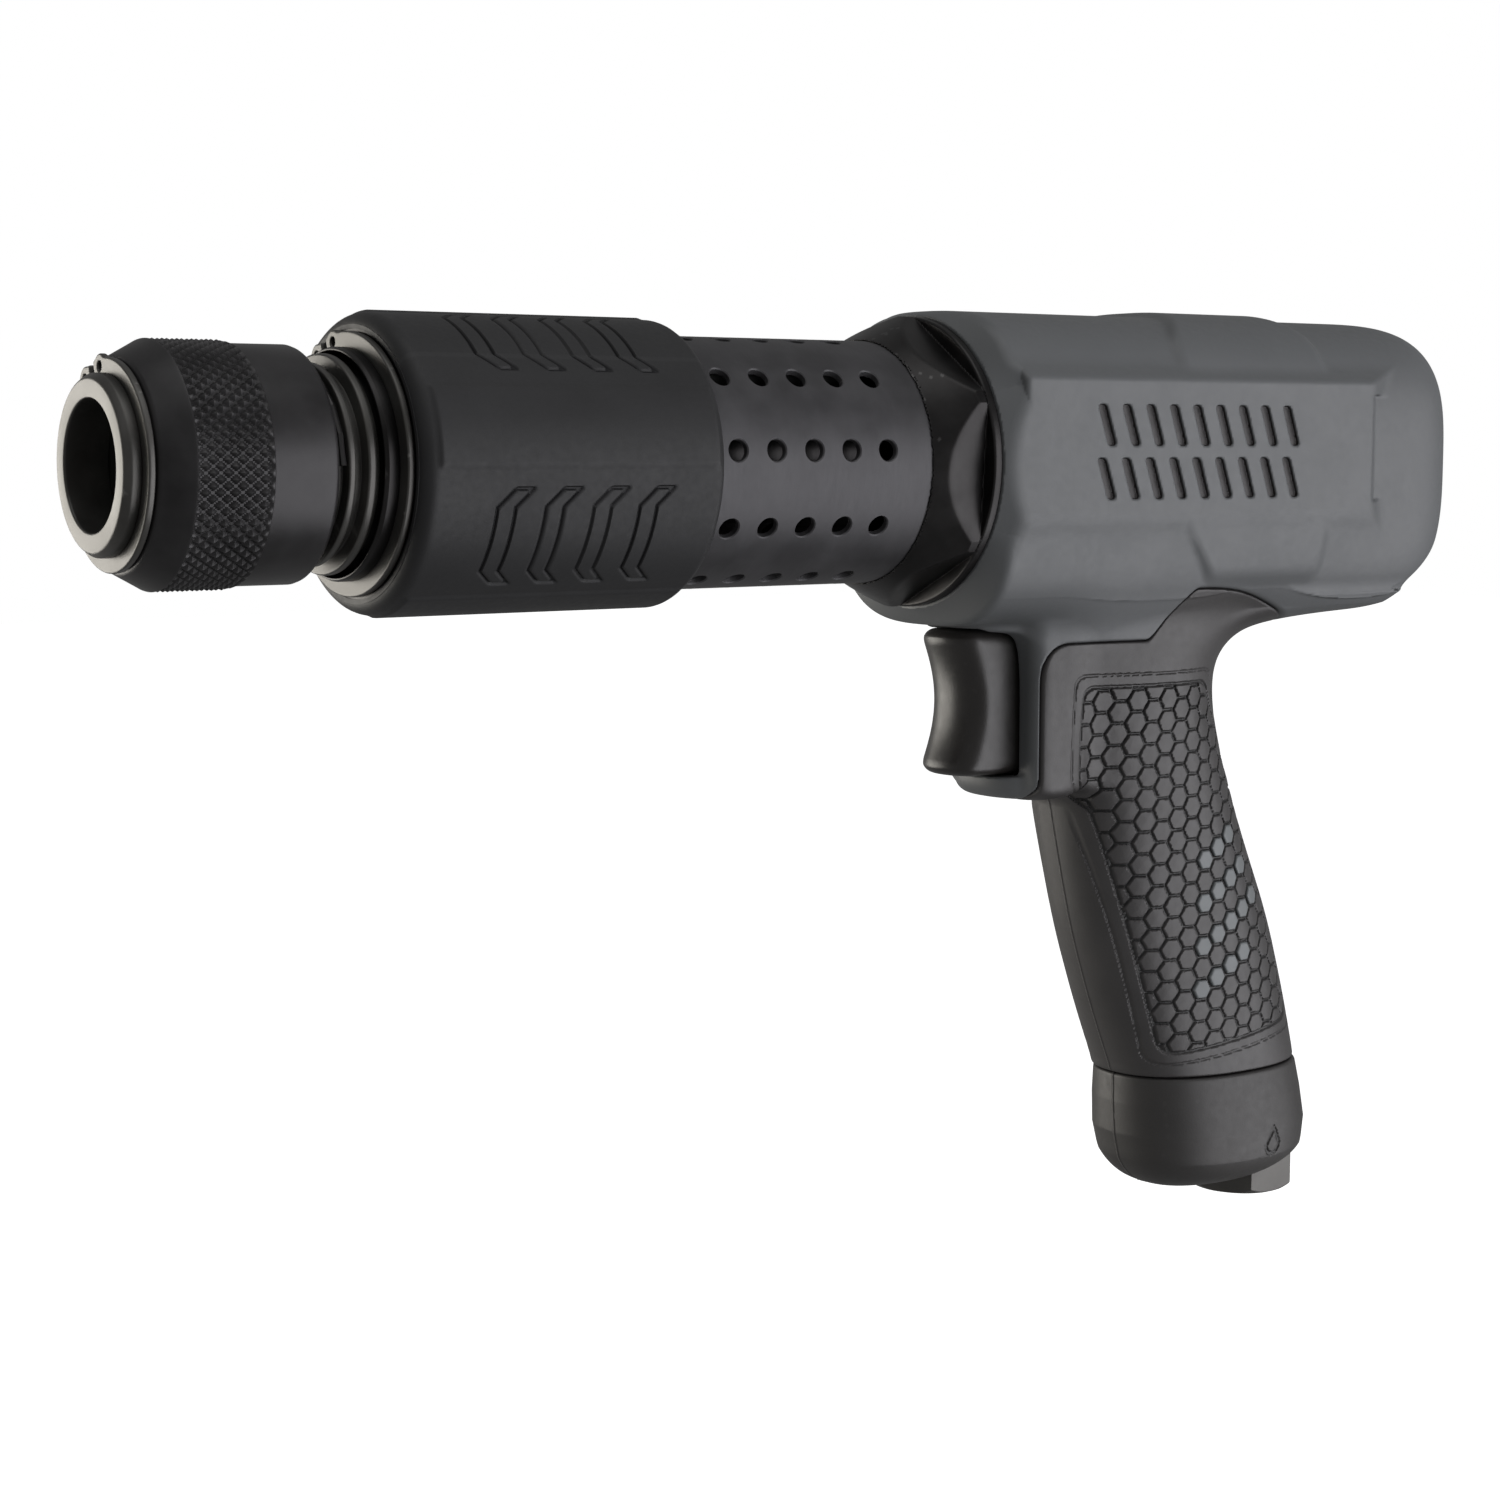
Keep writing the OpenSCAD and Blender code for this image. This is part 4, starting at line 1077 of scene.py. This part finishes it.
def inlet_field(x, y, z):
    dx = x - inlet_x
    r = np.hypot(dx, y)
    hexagon = np.full(np.broadcast(x, y).shape, -99.0)
    for i in range(6):
        a = math.radians(30 + 60 * i)
        hexagon = np.maximum(hexagon, dx * math.cos(a) + y * math.sin(a) - 10.5)
    foot = inlet_lo[2]
    head = smooth_max(smooth_max(hexagon, foot - z, 0.4), (r - 10.4 - (z - foot) * 1.4) * 0.6, 0.3)
    head = np.maximum(head, z + 153.1)
    stem = np.maximum(r - 8.5, np.maximum(z - inlet_hi[2], -154 - z))
    whole = np.minimum(head, stem)
    bore = np.where(z < foot + 15.9, 5.6, 4.4)
    bore = np.where(z > inlet_hi[2] - 1.6, 6.6, bore)
    return smooth_max(whole, bore - r, 0.4)


def make_inlet():
    vertices, quads, normals = net(inlet_field, inlet_lo, inlet_hi, 0.33)
    piece("inlet_bushing_hex", vertices, quads, ROOT, ["inlet_bushing"], nose_steel, normals)


def trigger_field(x, y, z):
    top, foot = trigger_hi[2], trigger_lo[2]
    mid, half_h = (top + foot) / 2, (top - foot) / 2
    nose_depth, waist = 5.9, 3.2
    height = (z - mid) / (half_h - 1.6)
    sag = waist * np.maximum(1 - height**2, 0) ** 1.2
    lip_x = trigger_hi[0] - nose_depth
    ahead = x + sag - lip_x
    half_w = trigger_hi[1] - 0.15
    curved, slope = superellipse(np.maximum(ahead, 0), y, nose_depth, half_w, 2.0)
    plan = (curved - 1) / slope
    body = smooth_max(plan, np.abs(z - mid) - half_h, 3.4)
    body = smooth_max(body, -197.0 - x, 1.0)
    heel = block(x, y, z, (-203.5, 1.5 - half_w, -56), (-194, half_w - 1.5, top - 2), 0.6)
    tongue = block(x, y, z, (-210.5, -5, -62.6), (-194, 5, -56.6), 0.6)
    slot = np.hypot(np.maximum(np.maximum(x + 201.4, -207.0 - x), 0), z + 59.6) - 1.6
    tongue = np.maximum(tongue, -slot)
    return np.minimum(body, np.minimum(heel, tongue))


def make_trigger():
    vertices, quads, normals = net(trigger_field, trigger_lo, trigger_hi, 0.3)
    piece("trigger_moulded", vertices, quads, "trigger", ["trigger"], trigger_polymer,
          normals)


# --- CAD nodes that stay ---------------------------------------------


def dress_cad_nodes():
    looks = {
        "collar_spring": black_steel, "throttle_spring": spring_steel,
        "cylinder": black_steel, "cylinder_o_ring": seal_rubber,
        "piston": bright_steel, "valve_block": bright_steel, "valve_disc": bright_steel,
        "valve_cap": bright_steel, "valve_pin": bright_steel, "rear_buffer": seal_rubber,
        "trigger_pin": bright_steel, "throttle_bushing": brass, "throttle_bushing_o_ring": seal_rubber,
        "throttle_valve": bright_steel, "throttle_seal": seal_rubber,
        "inlet_screen": bright_steel, "inlet_o_ring": seal_rubber,
    }
    looks.update({f"lock_ball_{i}": bright_steel for i in range(1, 5)})
    for name, look in looks.items():
        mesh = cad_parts[name].data
        mesh.materials.clear()
        mesh.materials.append(look)


# --- Studio ----------------------------------------------------------


def make_studio():
    floor_mesh = bpy.data.meshes.new("floor")
    size, floor_z = 6.0, -0.42
    floor_mesh.from_pydata(
        [(-size, -size, floor_z), (size, -size, floor_z), (size, size, floor_z), (-size, size, floor_z)],
        [], [(0, 1, 2, 3)])
    floor = bpy.data.objects.new("floor", floor_mesh)
    bpy.context.collection.objects.link(floor)
    pale = bpy.data.materials.new("pale_floor")
    pale.use_nodes = True
    shader = pale.node_tree.nodes["Principled BSDF"]
    shader.inputs["Base Color"].default_value = (0.9, 0.9, 0.9, 1)
    shader.inputs["Roughness"].default_value = 0.8
    shader.inputs["Emission Color"].default_value = (1, 1, 1, 1)
    shader.inputs["Emission Strength"].default_value = 0.9
    floor.data.materials.append(pale)
    floor.visible_diffuse = False
    floor.visible_glossy = False

    world = bpy.data.worlds.new("studio")
    bpy.context.scene.world = world
    world.use_nodes = True
    tree = world.node_tree
    background = tree.nodes["Background"]
    background.inputs["Color"].default_value = (1, 1, 1, 1)
    background.inputs["Strength"].default_value = 0.24
    seen = tree.nodes.new("ShaderNodeBackground")
    seen.inputs["Color"].default_value = (1, 1, 1, 1)
    seen.inputs["Strength"].default_value = 1.0
    path = tree.nodes.new("ShaderNodeLightPath")
    choose = tree.nodes.new("ShaderNodeMixShader")
    tree.links.new(path.outputs["Is Camera Ray"], choose.inputs[0])
    tree.links.new(background.outputs[0], choose.inputs[1])
    tree.links.new(seen.outputs[0], choose.inputs[2])
    tree.links.new(choose.outputs[0], tree.nodes["World Output"].inputs["Surface"])

    middle = Vector((-0.15, 0, -0.03))
    panels = (
        ("front_right_panel", (0.57, -0.81, -0.08), 1.1, 0.9, 0.7, 9.0, (1.0, 0.96, 0.88)),
        ("rear_left_panel", (-0.57, 0.81, -0.27), 1.2, 1.5, 1.6, 22.0, (0.97, 0.965, 1.0)),
        ("overhead_panel", (0.1, 0.25, 1.0), 1.2, 1.2, 0.8, 3.6, (1.0, 1.0, 1.0)),
    )
    for name, direction, distance, width, height, power, color in panels:
        light = bpy.data.lights.new(name, "AREA")
        light.shape = "RECTANGLE"
        light.size, light.size_y = width, height
        light.energy = power
        light.color = color
        lamp = bpy.data.objects.new(name, light)
        bpy.context.collection.objects.link(lamp)
        lamp.location = middle + Vector(direction).normalized() * distance
        lamp.rotation_euler = (middle - lamp.location).to_track_quat("-Z", "Y").to_euler()


def make_camera():
    data = bpy.data.cameras.new("camera")
    data.lens = 67.2
    data.sensor_width = 36.0
    camera = bpy.data.objects.new("camera", data)
    bpy.context.collection.objects.link(camera)
    camera.location = (0.1789, 0.4451, 0.0034)
    looking = Vector((-0.5719, -0.8132, -0.1082))
    camera.rotation_euler = looking.to_track_quat("-Z", "Y").to_euler()
    bpy.context.scene.camera = camera


make_retainer()
make_collar()
make_snap_rings()
make_rings_behind()
make_sleeve()
make_shroud()
make_nut()
make_housing()
make_grip()
make_inlays()
make_cap()
make_inlet()
make_trigger()
dress_cad_nodes()
make_studio()
make_camera()
bpy.context.scene.view_settings.view_transform = "Standard"
